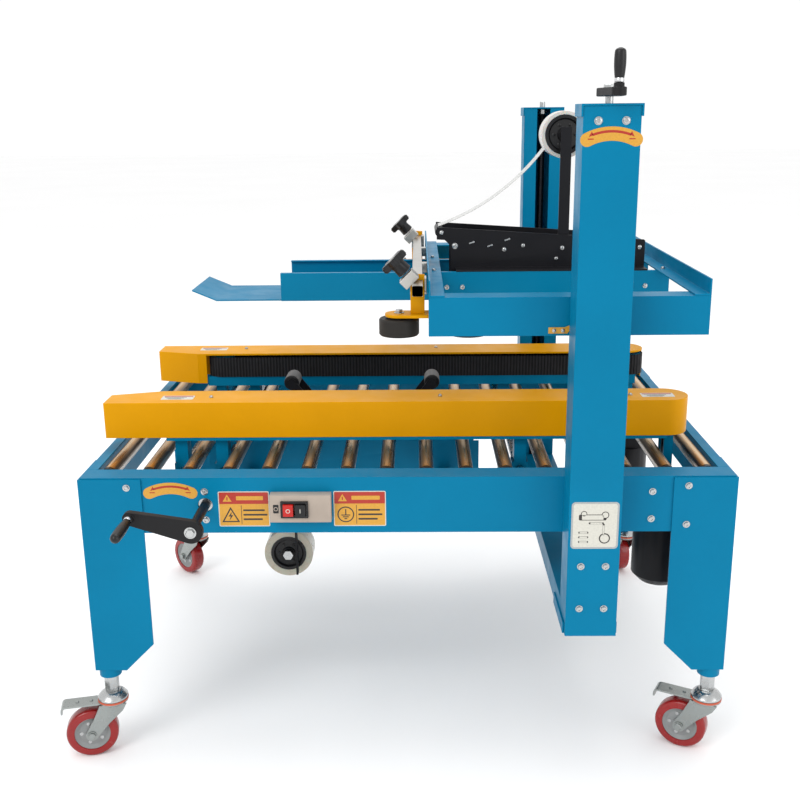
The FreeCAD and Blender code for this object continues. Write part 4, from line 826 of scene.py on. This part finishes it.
def switch_box():
    """Pale housing round a black rim, two rocker buttons with their signs, and a small side mark."""
    low, high = limits("switch_box")
    buttons = [limits(n) for n in ("stop_button", "start_button")]
    b0, b1 = buttons[0][0], buttons[1][1]
    surface = Surface()
    face = low[1] + 5
    middle_z = (low[2] + high[2]) / 2
    hollow = (b0[0] - 2.2, b1[0] + 2.2, b0[2] - 2.2, b1[2] + 2.2)
    for edges in ring_of_blocks((low[0], high[0], low[2], high[2]), hollow):
        surface.block(edges[0], edges[1], face, high[1], edges[2], edges[3], 0)
    surface.block(hollow[0], hollow[1], face + 10, high[1], hollow[2], hollow[3], 0)
    rim = (hollow[0] - 2, hollow[1] + 2, hollow[2] - 2, hollow[3] + 2)
    inner = (b0[0] - 0.6, b1[0] + 0.6, b0[2] - 0.6, b1[2] + 0.6)
    for edges in ring_of_blocks(rim, inner):
        surface.block(edges[0], edges[1], low[1] + 1, face, edges[2], edges[3], 1)
    side_x = (low[0] + hollow[0]) / 2
    surface.slab(rounded(9, 15, 1.5), (side_x, face, middle_z), (1, 0, 0), (0, 0, 1), 0.3, 1)
    surface.turned([(2.4, 0.3), (3.6, 0.3), (3.6, 0.5), (2.4, 0.5)], (side_x, face, middle_z), (0, -1, 0),
                   20, 0, ring=True)
    piece("switch_housing", surface, "frame", [PALE_PLASTIC, BLACK_PLASTIC, ZINC],
          ["switch_box"], 0.4)
    for name, (blow, bhigh), mark in (("stop", buttons[0], 0), ("start", buttons[1], 1)):
        sign = Surface()
        x, z = (blow[0] + bhigh[0]) / 2, (blow[2] + bhigh[2]) / 2
        if mark:
            sign.block(x - 0.6, x + 0.6, blow[1] - 0.15, blow[1], z - 3.5, z + 3.5)
        else:
            ring = [(2.6, 0), (3.6, 0), (3.6, 0.15), (2.6, 0.15)]
            sign.turned(ring, (x, blow[1], z), (0, -1, 0), 24, 0, ring=True)
        piece(name + "_sign", sign, name + "_button", [INK_WHITE])


# ------------------------------------------------------------------------------ labels
LAYER = 0.15                    # one layer of vinyl or ink


def label(surface, outline, x, z, face, mark):
    """Thin vinyl on a face that looks along -Y."""
    surface.slab(outline, (x, face, z), (1, 0, 0), (0, 0, 1), LAYER, mark)


def banana(x, z, face, surface):
    """Curved arrow label: a yellow crescent with round ends and a red double-headed arc."""
    crescent = [arc((0, -78), 88, 117, 63, 20)]
    for angle, start in ((63, 63), (117, 297)):
        end = (78 * math.cos(math.radians(angle)), 78 * math.sin(math.radians(angle)) - 78)
        crescent.append(arc(end, 10, start, start - 180, 10)[1:-1])
        if angle == 63:
            crescent.append(arc((0, -78), 68, 63, 117, 20))
    label(surface, np.concatenate(crescent), x, z, face, 0)
    inner = np.concatenate([arc((0, -78), 83, 110, 70, 16), arc((0, -78), 79.5, 70, 110, 16)])
    label(surface, inner, x, z, face - LAYER, 1)
    for side in (-1, 1):
        tip = np.array([(side * 26.5, -2), (side * 33, -4.5), (side * 28.8, 3.5)])
        label(surface, tip, x, z, face - LAYER, 1)
        dots = rounded(9, 1.6, 0.7)
        label(surface, dots + (side * 30, -7.5), x, z, face - LAYER, 1)


def caution(x0, x1, z0, z1, face, surface, bolt):
    """Warning label: red header with a triangle, yellow field with one pictogram and ruled lines."""
    w, h = x1 - x0, z1 - z0
    cx, cz = (x0 + x1) / 2, (z0 + z1) / 2
    band = h * 0.33
    head_z = z1 - 1.5 - band / 2
    label(surface, rounded(w, h, 2.5), cx, cz, face, 4)
    label(surface, rounded(w - 3, h - 3, 1.5), cx, cz, face - LAYER, 0)
    label(surface, rounded(w - 3, band, 1.5), cx, head_z, face - 2 * LAYER, 1)
    triangle = np.array([(-7.5, -6), (7.5, -6), (0, 6.5)])
    label(surface, triangle + (-w / 2 + 15, 0), cx, head_z, face - 3 * LAYER, 0)
    label(surface, rounded(1.8, 6, 0.6) + (-w / 2 + 15, -1), cx, head_z, face - 4 * LAYER, 1)
    label(surface, rounded(w - 40, 7, 1), cx + 10, head_z, face - 3 * LAYER, 0)
    mark_x, mark_z = x0 + 20, z0 + (h - band) / 2
    label(surface, rounded(0.9, h - band - 8, 0.3), x0 + 38, mark_z, face - 2 * LAYER, 2)
    if bolt:
        border, field = [(-15, -13), (15, -13), (0, 14)], [(-11.2, -10.8), (11.2, -10.8), (0, 9.4)]
        label(surface, border, mark_x, mark_z, face - 2 * LAYER, 2)
        label(surface, field, mark_x, mark_z, face - 3 * LAYER, 0)
        flash = np.array([(1.5, 5), (-4, -3), (-0.5, -2.6), (-2, -9.5), (4, -0.4), (0.6, -0.8)])
        label(surface, flash, mark_x, mark_z, face - 4 * LAYER, 2)
    else:
        label(surface, arc((0, 0), 14, 0, 345, 30), mark_x, mark_z, face - 2 * LAYER, 2)
        label(surface, arc((0, 0), 12, 0, 345, 30), mark_x, mark_z, face - 3 * LAYER, 0)
        label(surface, rounded(1.8, 10, 0.5) + (0, 4.5), mark_x, mark_z, face - 4 * LAYER, 2)
        for k, half in enumerate((7.5, 5, 2.4)):
            bar = rounded(half * 2, 1.7, 0.5) + (0, -1 - 3.2 * k)
            label(surface, bar, mark_x, mark_z, face - 4 * LAYER, 2)
    for k, length in enumerate((36, 40, 32)):
        label(surface, rounded(length, 3, 0.8), x0 + 41 + length / 2, mark_z + 8 - 8 * k, face - 2 * LAYER, 2)


def info_plate(surface, face):
    """Grey plate with a simple drawing of the tape head and its arm."""
    x, z = COLUMN_X, 463
    label(surface, rounded(76, 80, 6), x, z, face, 3)
    label(surface, rounded(70, 74, 4), x, z, face - LAYER, 4)
    tape_head = [(rounded(44, 10, 2), (-4, 14)), (rounded(10, 10, 4.9), (-18, 20)),
                 (rounded(12, 12, 5.9), (16, 18))]
    arm = [(rounded(24, 3, 1), (2, 4)), (rounded(3, 22, 1), (14, -8)), (rounded(18, 18, 8.9), (16, -22))]
    lines = [(rounded(16, 3, 1), (-18, height)) for height in (-12, -20, -28)]
    for shape, offset in tape_head + arm + lines:
        label(surface, shape + offset, x, z, face - 2 * LAYER, 2)
        label(surface, shape * 0.78 + offset, x, z, face - 3 * LAYER, 4)


def labels():
    """The stickers on the front rail and the front column."""
    surface = Surface()
    rail_face, column_face = RAIL_LOW[1] - LAYER, COLUMN_FACE - LAYER
    caution(-313, -228, 438, 500, rail_face, surface, True)
    caution(-121, -34, 438, 500, rail_face, surface, False)
    banana(-392, 506, rail_face, surface)
    banana(COLUMN_X, 1070, column_face, surface)
    info_plate(surface, column_face)
    inks = [INK_YELLOW, INK_RED, INK_BLACK, INK_GREY, INK_WHITE]
    piece("frame_labels", surface, "frame", inks, smooth=20)


def cover_fittings():
    """Two small labels and three screws on top of each belt cover."""
    for side, name, places in ((-1, "near", (-412, 448)), (1, "far", (-422, 440))):
        top = limits(name + "_belt_cover")[1][2]
        surface = Surface()
        y = side * 200
        for x in places:
            surface.slab(rounded(58, 26, 2), (x, y, top), (1, 0, 0), (0, 1, 0), 0.2, 0)
            surface.slab(rounded(52, 5, 1), (x, y + 8, top + 0.2), (1, 0, 0), (0, 1, 0), 0.15, 1)
            for k in range(3):
                surface.slab(rounded(40 - 8 * k, 1.8, 0.6), (x - 4, y + 1 - 5 * k, top + 0.2),
                             (1, 0, 0), (0, 1, 0), 0.15, 2)
        for x in (-352, 60, 400):
            cap_screw(surface, (x, y, top), (0, 0, 1), 3.4, 3)
        piece(name + "_cover_fittings", surface, name + "_belt_unit",
              [INK_WHITE, INK_RED, INK_BLACK, ZINC])


def height_pointer():
    """Yellow strap on the front head rail that points at the carton height."""
    surface = Surface()
    face = -365
    strap = np.array([(0, 0), (30, 0), (38, 9), (34, 13), (26, 10), (0, 10)])
    surface.slab(strap, (229, face, 760), (1, 0, 0), (0, 0, 1), 1.6, 0)
    cap_screw(surface, (238, face - 1.6, 765), (0, -1, 0), 2.6, 1)
    cap_screw(surface, (252, face - 1.6, 765), (0, -1, 0), 2.6, 1)
    piece("height_pointer", surface, "head", [INK_YELLOW, ZINC], bevel=0.3)


# ------------------------------------------------------------------------------ stage
def stage():
    """White floor and air with three soft lamps."""
    floor_mesh = bpy.data.meshes.new("floor")
    half = 30.0
    floor_mesh.from_pydata([(-half, -half, 0), (half, -half, 0), (half, half, 0), (-half, half, 0)], [],
                           [(0, 1, 2, 3)])
    floor = bpy.data.objects.new("floor", floor_mesh)
    bpy.context.scene.collection.objects.link(floor)
    r = Recipe("studio_floor")
    r.feed("Base Color", r.mixed(r.between(r.noise(0.6, 2), 0, 1), (0.95, 0.95, 0.95), (0.97, 0.97, 0.97)))
    r.set(Roughness=0.85)
    floor_mesh.materials.append(r.material)
    world = bpy.data.worlds.new("studio_air")
    world.use_nodes = True
    world.node_tree.nodes["Background"].inputs[0].default_value = (1, 1, 1, 1)
    world.node_tree.nodes["Background"].inputs[1].default_value = 1.03
    bpy.context.scene.world = world
    for name, spot, size, power in (("key", (-2.4, -3.4, 3.4), 2.2, 80), ("fill", (3.2, -2.6, 1.8), 2.4, 30),
                                    ("top", (0.2, 0.6, 3.8), 2.6, 45)):
        lamp = bpy.data.lights.new(name, "AREA")
        lamp.size, lamp.energy = size, power
        obj = bpy.data.objects.new(name, lamp)
        obj.location = spot
        aim = np.array([0.0, 0, 0.6]) - np.array(spot)
        obj.rotation_euler = Vector(aim).to_track_quat("-Z", "Y").to_euler()
        bpy.context.scene.collection.objects.link(obj)


def camera():
    """A long view from the operator's side, a little above the head and looking down at the table."""
    lens = bpy.data.cameras.new("camera")
    lens.sensor_width, lens.lens = 36.0, 46.35
    obj = bpy.data.objects.new("camera", lens)
    spot = place([(20.3, -1983.3, 1099.5)])[0]
    pitch, yaw, roll = math.radians(15.486), math.radians(1.038), math.radians(0.611)
    turn = (Matrix.Rotation(yaw, 4, "Z") @ Matrix.Rotation(math.pi / 2 - pitch, 4, "X")
            @ Matrix.Rotation(-roll, 4, "Z"))
    obj.matrix_world = Matrix.Translation(spot) @ turn
    bpy.context.scene.collection.objects.link(obj)
    bpy.context.scene.camera = obj


paint_cad_nodes()
roller_bed()
for corner, placing in CASTORS.items():
    castor(corner, *placing)
frame_fasteners()
lift_screws()
crank_grips()
arm_rollers()
tape_rolls()
cartridge_screws()
press_brackets()
switch_box()
labels()
cover_fittings()
height_pointer()
stage()
camera()
bpy.context.scene.view_settings.view_transform = "Standard"
